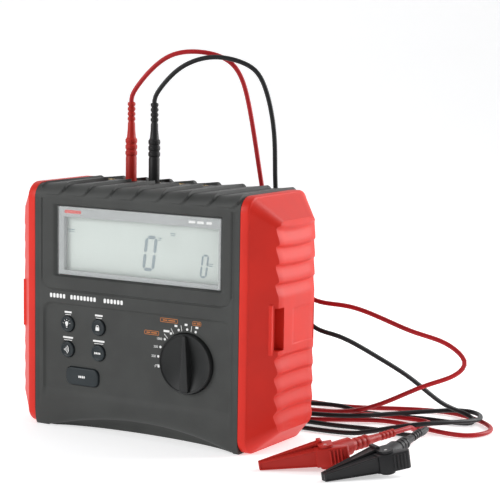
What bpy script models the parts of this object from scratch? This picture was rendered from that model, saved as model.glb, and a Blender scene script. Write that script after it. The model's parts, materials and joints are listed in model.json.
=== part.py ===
"""Insulation resistance tester with two test leads and crocodile clips.

Row frame: X to the right as the user faces the panel, Y to the back, Z up.
The origin is on the floor, under the middle of the instrument. Metres.
"""
import math

import bmesh
import bpy
import numpy as np
from mathutils import Matrix, Vector

# ---- driving dimensions -------------------------------------------------
GAP = 0.0003                     # clearance between touching pieces
WALL = 0.0025

FRONT = -0.0365                  # front face of the case
BACK = 0.0395
SPLIT = 0.033                    # where the back cover starts
CASE_TOP = 0.1643                # low line of the shingled top
CASE_HALF = 0.0803               # half width of the dark case
FRONT_SHOULDER = 0.009
BACK_SHOULDER = 0.006

SHINGLE_FIRST = -0.0566          # X of the first step on the top
SHINGLE_PITCH = 0.01942
SHINGLE_TOP = 0.1664
SHINGLE_COUNT = 8

COVER_OUT = 0.101                # half width over the side covers
COVER_FLANGE = 0.0865            # where the cover's front flange turns into its slope
PAD_FRONT, PAD_BACK = -0.0216, 0.0247
PAD_LOW, PAD_HIGH = 0.014, 0.1495
GROOVE_TOP, GROOVE_PITCH = 0.1458, 0.01177
GROOVE_ROWS = (0, 1, 2, 3, 7, 8, 9, 10)
STRAP_LOW, STRAP_HIGH = 0.067, 0.0945

LCD_X, LCD_Z = 0.0018, 0.1273    # centre of the display
LCD_W, LCD_H = 0.1276, 0.0458
VIEW_LEFT, VIEW_RIGHT = 0.0044, 0.0022
VIEW_TOP, VIEW_BOTTOM = 0.0070, 0.0030

PANEL_LEFT, PANEL_RIGHT = -0.0737, 0.0755
PANEL_LOW, PANEL_HIGH = 0.0247, 0.0855
PANEL_DEPTH = 0.0012

BUTTON_R = 0.0053
BUTTON_X, BUTTON_Z = -0.0536, 0.0713
BUTTON_DX, BUTTON_DZ = 0.0252, 0.0172
BUTTON_FRONT = FRONT - 0.0004
TEST_X, TEST_Z = -0.0412, 0.0366
TEST_W, TEST_H = 0.0264, 0.0118

KNOB_X, KNOB_Z = 0.0412, 0.0548
KNOB_R = 0.0196
KNOB_FRONT = -0.0395

SOCKET_X, SOCKET_PITCH, SOCKET_Y = -0.0628, 0.019, 0.0235
SOCKET_R = 0.0044                # bore for a shrouded plug
PLATE_TOP = 0.1642
PLATE_LEFT, PLATE_RIGHT = -0.0715, 0.0220
PLATE_FRONT, PLATE_BACK = 0.0150, 0.0320

SCREW_X, SCREW_ZS = 0.0735, (0.022, 0.140)
SHANK_R, SCREW_HEAD_R, HEAD_SUNK = 0.0018, 0.0034, 0.0014
CELL_R, CELL_LENGTH = 0.0071, 0.0492
DOOR_X, DOOR_LOW, DOOR_HIGH = 0.0560, 0.0120, 0.0640
DOOR_SCREW_Z = 0.058
THROUGH = 0.010                  # how far a cutter runs past the skin it cuts

LEAD_R = 0.0016
PLUG_MOUTH = 0.018               # shroud length below the plate
PLUG_TAIL = 0.0540               # handle length above the plate
HANDLE_R, FAR_PIN_R = 0.0038, 0.0019

JAW = 0.038                      # clip: flange to tip
CLIP_TALL, TIP_TALL = 0.00875, 0.0025
FLANGE = 0.003
CLIP_PITCH = math.atan2(CLIP_TALL - TIP_TALL, JAW)
CLIP_SPLAY, CLIP_DROOP = math.radians(36), math.radians(4)
PIVOT = (0.004, -0.0045)
LUG = 0.0056                     # half height of the moving jaw between the ears
EAR_TALL = CLIP_TALL - 0.0014    # the ears stay off the floor behind the flange
CLIPS = {"red": (0.1105, -0.0595, math.radians(37)),
         "black": (0.1565, -0.0615, math.radians(57))}
FAR_TAIL = 0.062                 # far plug: from the clip's mouth axis to its tail end

LEAD_POINTS = 92                 # along each lead's tube
LEAD_TURN = 0.016                # a radian of bend earns as many points as this length
LEAD_ROUTES = {                  # out of the near plug, over the case, about the floor
    "red": [
        (-0.0438, 0.0235, 0.2165), (-0.0437, 0.0236, 0.2215), (-0.0395, 0.0248, 0.2295),
        (-0.0215, 0.031, 0.2483), (-0.0005, 0.040, 0.2532), (0.0195, 0.050, 0.246),
        (0.0315, 0.0555, 0.215), (0.047, 0.059, 0.132), (0.060, 0.061, 0.103),
        (0.081, 0.062, 0.0876), (0.107, 0.066, 0.0847), (0.147, 0.072, 0.0722),
        (0.167, 0.075, 0.0672), (0.1787, 0.078, 0.0612), (0.1845, 0.080, 0.053),
        (0.1765, 0.082, 0.0433), (0.1525, 0.084, 0.0323), (0.103, 0.088, 0.0095),
        (0.054, 0.0925, 0.0027), (0.0445, 0.0825, 0.002), (0.0505, 0.0725, 0.002),
        (0.066, 0.0705, 0.002), (0.107, 0.093, 0.002), (0.131, 0.097, 0.002),
        (0.175, 0.0875, 0.002), (0.187, 0.093, 0.002), (0.1915, 0.106, 0.002),
        (0.185, 0.124, 0.002), (0.150, 0.146, 0.002), (0.112, 0.139, 0.002),
        (0.074, 0.123, 0.002), (0.050, 0.1225, 0.002), (0.037, 0.1185, 0.002),
        (0.0315, 0.109, 0.002), (0.0375, 0.1005, 0.002), (0.050, 0.0985, 0.002),
        (0.140, 0.113, 0.002), (0.149, 0.106, 0.0024), (0.154, 0.090, 0.0063),
        (0.155, 0.075, 0.0038), (0.1555, 0.067, 0.0067), (0.160, 0.054, 0.0106),
        (0.1635, 0.043, 0.0136), (0.1625, 0.0336, 0.0139), (0.1609, 0.0283, 0.0136),
        (0.1597, 0.0243, 0.0133)],
    "black": [
        (-0.0248, 0.0235, 0.2165), (-0.0246, 0.0236, 0.2215), (-0.0195, 0.0256, 0.2305),
        (-0.008, 0.0295, 0.2422), (0.006, 0.035, 0.2488), (0.020, 0.040, 0.2496),
        (0.035, 0.046, 0.245), (0.0445, 0.049, 0.2352), (0.0535, 0.0505, 0.202),
        (0.055, 0.0515, 0.1636), (0.066, 0.054, 0.098), (0.083, 0.058, 0.070),
        (0.099, 0.063, 0.0645), (0.120, 0.080, 0.0501), (0.138, 0.099, 0.0332),
        (0.151, 0.123, 0.0135), (0.1605, 0.1335, 0.0068), (0.168, 0.1335, 0.0038),
        (0.1713, 0.127, 0.0022), (0.167, 0.1215, 0.002), (0.157, 0.1195, 0.002),
        (0.136, 0.119, 0.002), (0.090, 0.1125, 0.0025), (0.078, 0.111, 0.0048),
        (0.038, 0.092, 0.006), (0.030, 0.082, 0.006), (0.035, 0.073, 0.006),
        (0.082, 0.075, 0.006), (0.108, 0.089, 0.006), (0.119, 0.102, 0.006),
        (0.143, 0.1305, 0.006), (0.153, 0.1395, 0.006), (0.1655, 0.141, 0.006),
        (0.178, 0.124, 0.0062), (0.1685, 0.092, 0.0084), (0.150, 0.0695, 0.0082),
        (0.127, 0.055, 0.0038), (0.114, 0.0505, 0.0022), (0.065, 0.0487, 0.002),
        (0.055, 0.0525, 0.002), (0.0545, 0.0615, 0.002), (0.064, 0.0655, 0.002),
        (0.098, 0.0665, 0.002), (0.127, 0.0705, 0.002), (0.151, 0.068, 0.0022),
        (0.167, 0.0565, 0.0080), (0.173, 0.0475, 0.0134), (0.1738, 0.0383, 0.0136),
        (0.174, 0.0341, 0.0133)],
}

COLOURS = {
    "dark_plastic": ((0.085, 0.088, 0.086), 0.45, 0.0),
    "panel_black": ((0.025, 0.027, 0.028), 0.40, 0.0),
    "red_cover": ((0.62, 0.035, 0.025), 0.38, 0.0),
    "red_rubber": ((0.60, 0.020, 0.016), 0.45, 0.0),
    "black_rubber": ((0.018, 0.018, 0.019), 0.45, 0.0),
    "bezel_grey": ((0.45, 0.47, 0.47), 0.40, 0.0),
    "clear_window": ((0.90, 0.95, 0.93), 0.05, 0.0),
    "lcd": ((0.70, 0.76, 0.72), 0.20, 0.0),
    "board": ((0.02, 0.16, 0.06), 0.50, 0.0),
    "steel": ((0.60, 0.60, 0.60), 0.30, 1.0),
    "brass": ((0.75, 0.58, 0.28), 0.30, 1.0),
    "cell": ((0.10, 0.10, 0.12), 0.35, 0.0),
}


# ---- scene and naming ---------------------------------------------------
def clear_scene():
    for obj in list(bpy.data.objects):
        bpy.data.objects.remove(obj, do_unlink=True)


def collection(name):
    made = bpy.data.collections.new(name)
    bpy.context.scene.collection.children.link(made)
    return made


def make_finishes():
    made = {}
    for name, (colour, rough, metal) in COLOURS.items():
        mat = bpy.data.materials.new(name)
        mat.use_nodes = True
        shader = mat.node_tree.nodes["Principled BSDF"]
        shader.inputs["Base Color"].default_value = (*colour, 1.0)
        shader.inputs["Roughness"].default_value = rough
        shader.inputs["Metallic"].default_value = metal
        mat.diffuse_color = (*colour, 1.0)
        made[name] = mat
    return made


clear_scene()
PARTS = collection("insulation_resistance_tester")
CUTTERS = collection("cutters")
FINISH = make_finishes()


def link(obj, finish=None):
    """A part goes with the parts in its finish; a cutter has no finish."""
    (PARTS if finish else CUTTERS).objects.link(obj)
    if finish:
        obj.data.materials.clear()
        obj.data.materials.append(FINISH[finish])
    else:
        obj.hide_render = True
        obj.display_type = "WIRE"
    return obj


# ---- shapes -------------------------------------------------------------
def box(name, low, high, finish=None, bevel=0.0, segments=2):
    low, high = Vector(low), Vector(high)
    mesh = bpy.data.meshes.new(name)
    bm = bmesh.new()
    bmesh.ops.create_cube(bm, size=1.0)
    bmesh.ops.scale(bm, vec=high - low, verts=bm.verts)
    bm.to_mesh(mesh)
    bm.free()
    obj = link(bpy.data.objects.new(name, mesh), finish)
    obj.location = (low + high) / 2
    if bevel:
        mod = obj.modifiers.new("round", "BEVEL")
        mod.width = bevel
        mod.segments = segments
    return obj


def rod(name, start, end, radius, finish=None, sides=24, end_radius=None):
    """A cylinder or cone between two points."""
    start, end = Vector(start), Vector(end)
    mesh = bpy.data.meshes.new(name)
    bm = bmesh.new()
    bmesh.ops.create_cone(bm, cap_ends=True, segments=sides, radius1=radius,
                          radius2=radius if end_radius is None else end_radius,
                          depth=(end - start).length)
    bm.to_mesh(mesh)
    bm.free()
    obj = link(bpy.data.objects.new(name, mesh), finish)
    obj.location = (start + end) / 2
    obj.rotation_euler = (end - start).to_track_quat("Z", "Y").to_euler()
    return obj


def turned(name, profile, finish=None, steps=20, frame=Matrix()):
    """A profile of (radius, height) points, listed from the top down, turned about local Z."""
    mesh = bpy.data.meshes.new(name)
    bm = bmesh.new()
    verts = [bm.verts.new((r, 0.0, z)) for r, z in profile]
    for a, b in zip(verts, verts[1:]):
        bm.edges.new((a, b))
    bm.to_mesh(mesh)
    bm.free()
    obj = link(bpy.data.objects.new(name, mesh), finish)
    mod = obj.modifiers.new("turn", "SCREW")
    mod.steps = mod.render_steps = steps
    mod.use_merge_vertices = True
    mod.merge_threshold = 0.00001
    obj.matrix_world = frame
    return obj


def slab(name, outline, thickness, frame, finish=None):
    """A flat outline in the frame's XY plane, made a solid that is centred on it."""
    curve = bpy.data.curves.new(name, "CURVE")
    curve.dimensions = "2D"
    curve.fill_mode = "BOTH"
    curve.extrude = thickness / 2
    spline = curve.splines.new("POLY")
    spline.points.add(len(outline) - 1)
    for point, (x, y) in zip(spline.points, outline):
        point.co = (x, y, 0.0, 1.0)
    spline.use_cyclic_u = True
    return curve_to_mesh(name, curve, frame, finish)


def curve_to_mesh(name, curve, frame, finish):
    guide = bpy.data.objects.new(name + "_curve", curve)
    bpy.context.scene.collection.objects.link(guide)
    guide.matrix_world = frame
    bpy.context.view_layer.update()
    depsgraph = bpy.context.evaluated_depsgraph_get()
    mesh = bpy.data.meshes.new_from_object(guide.evaluated_get(depsgraph))
    bm = bmesh.new()
    bm.from_mesh(mesh)
    bmesh.ops.remove_doubles(bm, verts=bm.verts, dist=0.000001)
    bmesh.ops.recalc_face_normals(bm, faces=bm.faces)
    bm.to_mesh(mesh)
    bm.free()
    obj = link(bpy.data.objects.new(name, mesh), finish)
    obj.matrix_world = guide.matrix_world
    bpy.data.objects.remove(guide, do_unlink=True)
    return obj


def tube(name, points, radius, finish):
    curve = bpy.data.curves.new(name, "CURVE")
    curve.dimensions = "3D"
    curve.bevel_depth = radius
    curve.bevel_resolution = 2
    curve.use_fill_caps = True
    curve.resolution_u = 1
    curve.render_resolution_u = 0
    spline = curve.splines.new("POLY")
    spline.points.add(len(points) - 1)
    for point, place in zip(spline.points, points):
        point.co = (*place, 1.0)
    return link(bpy.data.objects.new(name, curve), finish)


def combine(target, tool, operation):
    """Joins or cuts target with tool and keeps tool as a hidden cutter."""
    if tool.name in PARTS.objects:
        PARTS.objects.unlink(tool)
        link(tool)
    mod = target.modifiers.new(tool.name, "BOOLEAN")
    mod.operation = operation
    mod.solver = "EXACT"
    mod.object = tool
    return target


def cut(target, *tools):
    for tool in tools:
        combine(target, tool, "DIFFERENCE")


def join(target, *tools):
    for tool in tools:
        combine(target, tool, "UNION")


# ---- outlines -----------------------------------------------------------
def arc(centre, radius, start, end, count=5):
    """Points along an arc, angles in degrees."""
    angles = [math.radians(start + (end - start) * i / count) for i in range(count + 1)]
    return [(centre[0] + radius * math.cos(a), centre[1] + radius * math.sin(a)) for a in angles]


def rounded(width, height, radius, count=3, centre=(0.0, 0.0)):
    """A rectangle with round corners, anticlockwise."""
    cx, cy = centre
    x, y = width / 2 - radius, height / 2 - radius
    corners = ((x, y, 0), (-x, y, 90), (-x, -y, 180), (x, -y, 270))
    return [p for px, py, a in corners
            for p in arc((cx + px, cy + py), radius, a, a + 90, count)]


ACROSS = Matrix(((0, 0, 1, 0), (1, 0, 0, 0), (0, 1, 0, 0), (0, 0, 0, 1)))   # outline in YZ
FACING = Matrix(((1, 0, 0, 0), (0, 0, -1, 0), (0, 1, 0, 0), (0, 0, 0, 1)))  # outline in XZ


def facing(x, y, z):
    """A frame whose local Z points at the user, for outlines in XZ."""
    return Matrix.Translation((x, y, z)) @ FACING


# ---- case ---------------------------------------------------------------
def case_outline(inset):
    """The YZ section of the front case, without its open back."""
    f, top, low = FRONT + inset, CASE_TOP - inset, inset
    r = FRONT_SHOULDER - inset
    toe = 0.005 if inset == 0 else 0.019
    heel = 0.010 if inset == 0 else 0.024
    shoulder = arc((f + r, top - r), r, 180, 90)
    return [(f + toe, low), (f, low + heel)] + shoulder


def screw_places():
    return [(side * SCREW_X, z) for side in (-1, 1) for z in SCREW_ZS]


def front_case():
    rear = SPLIT - GAP
    outer = [(rear, 0.0)] + case_outline(0.0) + [(rear, CASE_TOP)]
    inner = [(rear, WALL)] + case_outline(WALL) + [(rear, CASE_TOP - WALL)]
    case = slab("front_case", outer + inner[::-1], 2 * CASE_HALF, ACROSS, "dark_plastic")
    join(case, *[shingle(i) for i in range(SHINGLE_COUNT)])
    join(case, *[screw_post(x, z) for x, z in screw_places()])
    cut(case, display_hole(), panel_recess(), knob_hole(), scoop(), plate_pocket())
    cut(case, *button_holes())
    cut(case, *[screw_bore(x, z) for x, z in screw_places()])


def shingle(index):
    """One step of the top: it rises to the right, then drops at its right edge."""
    front, back = FRONT + 0.010, SPLIT - GAP
    edge = SHINGLE_FIRST + index * SHINGLE_PITCH
    left, right = max(edge - SHINGLE_PITCH, -CASE_HALF + 0.003), edge - 0.00005
    outline = [(left, CASE_TOP - 0.001), (right, CASE_TOP - 0.001), (right, SHINGLE_TOP),
               (left, CASE_TOP + 0.0001)]
    return slab(f"shingle_{index}", outline, back - front, facing(0, (front + back) / 2, 0))


def screw_post(x, z):
    return rod(f"post_{x}_{z}", (x, FRONT + 0.0019, z), (x, SPLIT - GAP, z), 0.0040, sides=12)


def screw_bore(x, z):
    return rod(f"bore_{x}_{z}", (x, 0.012, z), (x, BACK + THROUGH, z), SHANK_R, sides=12)


def display_hole():
    return box("cut_display", (LCD_X - LCD_W / 2 - GAP, FRONT - THROUGH, LCD_Z - LCD_H / 2 - GAP),
               (LCD_X + LCD_W / 2 + GAP, FRONT + 0.006, LCD_Z + LCD_H / 2 + GAP))


def panel_recess():
    width, height = PANEL_RIGHT - PANEL_LEFT, PANEL_HIGH - PANEL_LOW
    middle = ((PANEL_LEFT + PANEL_RIGHT) / 2, (PANEL_LOW + PANEL_HIGH) / 2)
    return slab("cut_panel", rounded(width, height, 0.006), THROUGH,
                facing(middle[0], FRONT + PANEL_DEPTH - THROUGH / 2, middle[1]))


def knob_hole():
    return rod("cut_knob", (KNOB_X, FRONT - THROUGH, KNOB_Z), (KNOB_X, FRONT + 0.006, KNOB_Z),
               KNOB_R + 0.0005, sides=40)


def scoop():
    """The arch under the front edge, part of an ellipsoid."""
    mesh = bpy.data.meshes.new("cut_scoop")
    bm = bmesh.new()
    bmesh.ops.create_uvsphere(bm, u_segments=28, v_segments=14, radius=1.0)
    bmesh.ops.scale(bm, vec=(0.0735, 0.0155, 0.0215), verts=bm.verts)
    bm.to_mesh(mesh)
    bm.free()
    obj = link(bpy.data.objects.new("cut_scoop", mesh))
    obj.location = (0.003, FRONT, 0.0)
    return obj


def plate_pocket():
    return box("cut_plate", (PLATE_LEFT - GAP, PLATE_FRONT - GAP, CASE_TOP - THROUGH),
               (PLATE_RIGHT + GAP, PLATE_BACK + GAP, CASE_TOP + THROUGH))


def button_places():
    names = ("light", "hold", "sound", "zero")
    return [(name, BUTTON_X + BUTTON_DX * (i % 2), BUTTON_Z - BUTTON_DZ * (i // 2))
            for i, name in enumerate(names)]


def button_holes():
    clear = 0.0004
    cuts = [rod(f"cut_{name}", (x, FRONT - THROUGH, z), (x, FRONT + THROUGH, z), BUTTON_R + clear)
            for name, x, z in button_places()]
    shape = rounded(TEST_W + 2 * clear, TEST_H + 2 * clear, 0.0045)
    cuts.append(slab("cut_test", shape, 2 * THROUGH, facing(TEST_X, FRONT, TEST_Z)))
    return cuts


def cover_section(inset):
    """The YZ section of the back cover's skin, from its foot to its top."""
    rear, top, r = BACK - inset, CASE_TOP - inset, BACK_SHOULDER - inset
    shoulder = arc((rear - r, top - r), r, 0, 90)
    return [(SPLIT, inset), (rear, inset)] + shoulder + [(SPLIT, top)]


def back_cover():
    section = cover_section(0.0) + cover_section(WALL)[::-1]
    cover = slab("back_cover", section, 2 * CASE_HALF, ACROSS, "dark_plastic")
    cut(cover, box("cut_door", (-DOOR_X - GAP, SPLIT, DOOR_LOW - GAP),
                   (DOOR_X + GAP, BACK + THROUGH, DOOR_HIGH + GAP)))
    for x, z in screw_places():
        screw_seat(cover, x, z)


def screw_seat(panel, x, z):
    """A clearance hole with a sunk seat for the screw's head."""
    cut(panel, rod(f"cut_shank_{x}_{z}", (x, SPLIT - GAP, z), (x, BACK + THROUGH, z), SHANK_R,
                   sides=12))
    cut(panel, rod(f"cut_head_{x}_{z}", (x, BACK - HEAD_SUNK, z), (x, BACK + THROUGH, z),
                   SCREW_HEAD_R, sides=16))


def screw(name, x, z, length):
    """A pan-head screw in the back, with its head just under the surface."""
    head_r, head, shank = SCREW_HEAD_R - 0.0004, HEAD_SUNK - 0.0005, SHANK_R - GAP
    frame = (Matrix.Translation((x, BACK - 0.0002, z)) @ Matrix.Rotation(math.radians(-90), 4, "X"))
    turned(name, [(0, 0), (head_r, 0), (head_r, -head), (shank, -head), (shank, 0.001 - length),
                  (0, -length)], "steel", 12, frame)


def case_screws():
    for i, (x, z) in enumerate(screw_places()):
        screw(f"case_screw_{i + 1}", x, z, 0.019)


def side_cover(side):
    """A hollow end cap: a round-cornered flange that slopes to a ribbed pad."""
    name = "right_side_cover" if side > 0 else "left_side_cover"
    inner = CASE_HALF + GAP
    depth, tall = BACK - FRONT, 0.165
    middle = ((FRONT + BACK) / 2, tall / 2)
    pad = ((PAD_FRONT + PAD_BACK) / 2, (PAD_LOW + PAD_HIGH) / 2)
    pad_depth, pad_tall = PAD_BACK - PAD_FRONT, PAD_HIGH - PAD_LOW
    cover = loft(name, side, [(inner, depth, tall, 0.010, middle),
                              (COVER_FLANGE - 0.0015, depth, tall, 0.010, middle),
                              (COVER_FLANGE, depth - 0.001, tall - 0.001, 0.010, middle),
                              (COVER_OUT, pad_depth, pad_tall, 0.006, pad)], "red_cover")
    cut(cover, loft(f"cut_{name}", side,
                    [(inner - 0.005, depth - 0.006, tall - 0.006, 0.008, middle),
                     (COVER_FLANGE, depth - 0.010, tall - 0.010, 0.008, middle),
                     (COVER_OUT - 0.011, pad_depth, pad_tall - 0.004, 0.006, pad)]))
    cut(cover, *[groove(side, row) for row in GROOVE_ROWS])
    join(cover, strap_block(side, "lip", COVER_OUT - 0.0002, 0.0110, 0.0132, 0.002))
    cut(cover, strap_block(side, "slot", COVER_OUT + THROUGH, 0.0132, 0.0222, 0.0))


def groove(side, row):
    """A finger groove across the pad."""
    x, z = side * (COVER_OUT + 0.0008), GROOVE_TOP - GROOVE_PITCH * row
    return rod(f"groove_{side}_{row}", (x, PAD_FRONT - 0.003, z), (x, PAD_BACK + 0.006, z), 0.0024,
               sides=12)


def strap_block(side, name, outside, front, back, beyond):
    """A block at the strap's loop, its depths counted from the front face."""
    inside = 0.0935
    return box(f"strap_{name}_{side}",
               (min(side * inside, side * outside), FRONT + front, STRAP_LOW - beyond),
               (max(side * inside, side * outside), FRONT + back, STRAP_HIGH + beyond))


def loft(name, side, sections, finish=None):
    """Rounded rectangles in YZ at growing X, skinned to a solid and mirrored by side."""
    mesh = bpy.data.meshes.new(name)
    bm = bmesh.new()
    rings = []
    for x, width, height, radius, centre in sections:
        outline = rounded(width, height, radius, 3, centre)
        rings.append([bm.verts.new((side * x, y, z)) for y, z in outline])
    for a, b in zip(rings, rings[1:]):
        for i in range(len(a)):
            j = (i + 1) % len(a)
            bm.faces.new((a[i], a[j], b[j], b[i]))
    bm.faces.new(rings[0][::-1])
    bm.faces.new(rings[-1])
    bmesh.ops.recalc_face_normals(bm, faces=bm.faces)
    bm.to_mesh(mesh)
    bm.free()
    return link(bpy.data.objects.new(name, mesh), finish)


# ---- display ------------------------------------------------------------
def display():
    low_x, high_x = LCD_X - LCD_W / 2, LCD_X + LCD_W / 2
    low_z, high_z = LCD_Z - LCD_H / 2, LCD_Z + LCD_H / 2
    box("display_window", (low_x, FRONT + 0.0006, low_z), (high_x, FRONT + 0.0015, high_z),
        "clear_window")
    bezel = box("display_bezel", (low_x, FRONT + 0.0018, low_z), (high_x, FRONT + 0.0056, high_z),
                "bezel_grey")
    cut(bezel, box("cut_view", (low_x + VIEW_LEFT, FRONT, low_z + VIEW_BOTTOM),
                   (high_x - VIEW_RIGHT, FRONT + 0.01, high_z - VIEW_TOP)))
    box("lcd_glass", (low_x, FRONT + 0.0059, low_z), (high_x, FRONT + 0.0085, high_z), "lcd")
    box("lcd_backlight", (low_x, FRONT + 0.0088, low_z), (high_x, FRONT + 0.0118, high_z),
        "bezel_grey")


# ---- controls -----------------------------------------------------------
def buttons():
    """Each cap has a flange behind the panel and a stem that presses the key mat."""
    cap, flange, stem = FRONT - BUTTON_FRONT, BUTTON_R + 0.0009, 0.003
    for name, x, z in button_places():
        turned(f"button_{name}", [
            (0, cap), (BUTTON_R - 0.0006, cap), (BUTTON_R, cap - 0.0006), (BUTTON_R, -0.0028),
            (flange, -0.0028), (flange, -0.0042), (stem, -0.0042), (stem, -0.0053),
            (0, -0.0053)], "panel_black", 20, facing(x, FRONT, z))
    depth, rim = 0.0034, 0.0014
    test = slab("button_test", rounded(TEST_W, TEST_H, 0.0042), cap + depth,
                facing(TEST_X, FRONT + (depth - cap) / 2, TEST_Z), "panel_black")
    join(test, slab("test_flange", rounded(TEST_W + 0.002, TEST_H + 0.002, 0.0045), rim,
                    facing(TEST_X, FRONT + depth + 0.0001, TEST_Z)))


def rotary_switch():
    frame = facing(KNOB_X, FRONT, KNOB_Z)
    skirt = KNOB_R + 0.0016
    knob = turned("knob", [
        (0, -0.0042), (0.008, -0.0040), (0.0135, -0.0028), (0.0178, -0.0006), (0.0186, -0.0002),
        (KNOB_R, -0.0008), (KNOB_R, -0.0031), (skirt, -0.0031), (skirt, -0.0047),
        (0.0055, -0.0057), (0, -0.0057)], "panel_black", 32, frame)
    grip_half, grip_long = 0.0029, KNOB_R - 0.0009
    join(knob, box("knob_grip", (KNOB_X - grip_half, KNOB_FRONT, KNOB_Z - grip_long),
                   (KNOB_X + grip_half, FRONT + 0.0048, KNOB_Z + grip_long), bevel=0.0008))
    turned("detent_rotor", [(0, -0.0060), (0.013, -0.0060), (0.013, -0.0080), (0, -0.0080)],
           "steel", 24, frame)
    half = 0.021
    box("switch_base", (KNOB_X - half, FRONT + 0.0083, KNOB_Z - half),
        (KNOB_X + half, FRONT + 0.0142, KNOB_Z + half), "panel_black", bevel=0.002)


# ---- inside -------------------------------------------------------------
def boards():
    """Two boards on edge, with what stands on them."""
    main_back, power_front, power_back = -0.0194, 0.0030, 0.0046
    box("keypad_mat", (-0.064, FRONT + 0.0068, 0.027), (-0.018, FRONT + 0.0080, 0.080),
        "panel_black")
    box("main_board", (-0.062, main_back - 0.0016, 0.022), (0.0625, main_back, 0.152), "board")
    box("power_board", (-0.058, power_front, 0.068), (0.058, power_back, 0.134), "board")
    stand = power_back + GAP
    box("transformer", (-0.050, stand, 0.078), (-0.022, 0.0250, 0.106), "cell", bevel=0.001)
    box("relay", (0.000, stand, 0.080), (0.020, 0.0160, 0.094), "panel_black")
    rod("fuse", (0.024, 0.0090, 0.124), (0.046, 0.0090, 0.124), 0.0032, "steel", sides=14)
    rod("buzzer", (-0.040, main_back + GAP, 0.045), (-0.040, -0.0120, 0.045), 0.0090,
        "panel_black")


def batteries():
    tray_wall, tray_front, tray_back = 0.0020, 0.0120, 0.0300
    low, high = Vector((-0.0555, tray_front, 0.0125)), Vector((0.0555, tray_back, 0.0635))
    wall = Vector((tray_wall, tray_wall, tray_wall))
    tray = box("battery_tray", low, high, "dark_plastic")
    inside = high - wall
    cut(tray, box("cut_tray", low + wall, (inside.x, tray_back + THROUGH, inside.z)))
    depth = tray_front + tray_wall + CELL_R + 0.0006
    for i in range(6):
        x = -0.0513 + (i % 2) * (CELL_LENGTH + 0.0040)
        z = 0.0226 + (i // 2) * (2 * CELL_R + 0.0010)
        rod(f"cell_{i + 1}", (x, depth, z), (x + CELL_LENGTH, depth, z), CELL_R, "cell", sides=16)
    door = box("battery_door", (-DOOR_X, BACK - 0.0024, DOOR_LOW), (DOOR_X, BACK, DOOR_HIGH),
               "dark_plastic")
    screw_seat(door, 0, DOOR_SCREW_Z)
    screw("battery_door_screw", 0, DOOR_SCREW_Z, 0.006)


# ---- terminals ----------------------------------------------------------
def terminals():
    plate = box("terminal_plate", (PLATE_LEFT, PLATE_FRONT, PLATE_TOP - 0.0028),
                (PLATE_RIGHT, PLATE_BACK, PLATE_TOP), "panel_black")
    for i in range(5):
        x = SOCKET_X + SOCKET_PITCH * i
        cut(plate, rod(f"cut_socket_{i + 1}", (x, SOCKET_Y, PLATE_TOP - THROUGH),
                       (x, SOCKET_Y, PLATE_TOP + THROUGH), SOCKET_R + 0.0015))
        socket(i + 1, x)


def socket(number, x):
    """A cup with a contact tube standing in it, open at the top."""
    floor, post, outer = -0.0200, -0.0090, SOCKET_R + 0.0012
    turned(f"socket_{number}", [
        (0.0, floor), (0.0021, floor), (0.0021, post), (0.0029, post), (0.0029, floor),
        (SOCKET_R, floor), (SOCKET_R, 0), (outer, 0), (outer, floor - 0.0025),
        (0, floor - 0.0025)], "brass", 16, Matrix.Translation((x, SOCKET_Y, PLATE_TOP)))


# ---- leads --------------------------------------------------------------
def grip_rings(low, high, root, crest, count):
    """Ring ribs between two heights, listed from the top down."""
    step = (high - low) / count
    points = []
    for i in range(count):
        top = high - i * step
        points += [(root, top), (crest, top - 0.2 * step), (crest, top - 0.6 * step),
                   (root, top - 0.8 * step)]
    return points


def handle_profile():
    """The plug's handle above its collar, from the cord end down."""
    cord = LEAD_R + GAP
    tail = grip_rings(0.0405, PLUG_TAIL, 0.0021, 0.0027, 4)
    rings = grip_rings(0.0165, 0.0290, 0.0036, 0.0041, 3)
    inside = [(0, PLUG_TAIL - 0.002), (cord, PLUG_TAIL - 0.002), (cord, PLUG_TAIL)]
    return inside + tail + [(0.0025, 0.0395), (0.0026, 0.0355)] + rings


def near_plug(colour, x):
    """A straight shrouded plug standing in a socket."""
    mouth = -PLUG_MOUTH
    profile = handle_profile() + [(HANDLE_R, 0.0160), (HANDLE_R, mouth), (0.0032, mouth),
                                  (0.0032, 0), (0.0020, 0), (0.0020, 0.006), (0, 0.006)]
    frame = Matrix.Translation((x, SOCKET_Y, PLATE_TOP))
    turned(f"{colour}_plug", profile, f"{colour}_rubber", 12, frame)
    turned(f"{colour}_plug_pin", [(0, 0.0057), (0.00165, 0.0057), (0.00165, mouth + 0.001),
                                  (0.0012, mouth + 0.0004), (0, mouth + 0.0004)],
           "brass", 12, frame)


def clip_frame(colour):
    """Local X runs from the tip to the tail, Z is the pivot's axis; the clip rests on the floor."""
    x, y, yaw = CLIPS[colour]
    turn = Matrix.Rotation(yaw, 4, "Z") @ Matrix.Rotation(-CLIP_PITCH, 4, "Y")
    tip_foot = turn @ Vector((-JAW, 0, -TIP_TALL))
    return Matrix.Translation(Vector((x, y, GAP)) - tip_foot) @ turn


def far_plug_frame(colour):
    """Local Z runs along the far plug, from the clip to the cord."""
    turn = (Matrix.Rotation(CLIP_SPLAY, 4, "Z") @ Matrix.Rotation(CLIP_DROOP, 4, "Y")
            @ Matrix.Rotation(math.radians(90), 4, "Y"))
    mouth = Matrix.Translation((0.004, 0.002, 0))
    return clip_frame(colour) @ mouth @ turn @ Matrix.Translation((0, 0, FAR_TAIL - PLUG_TAIL))


def far_plug(colour):
    """The plug that the clip is pushed on: a bare pin and the same handle."""
    profile = handle_profile() + [(HANDLE_R, 0.0160), (HANDLE_R, 0.0040), (FAR_PIN_R, 0.0040),
                                  (FAR_PIN_R, -0.004), (0, -0.004)]
    turned(f"{colour}_far_plug", profile, f"{colour}_rubber", 12, far_plug_frame(colour))


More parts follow.
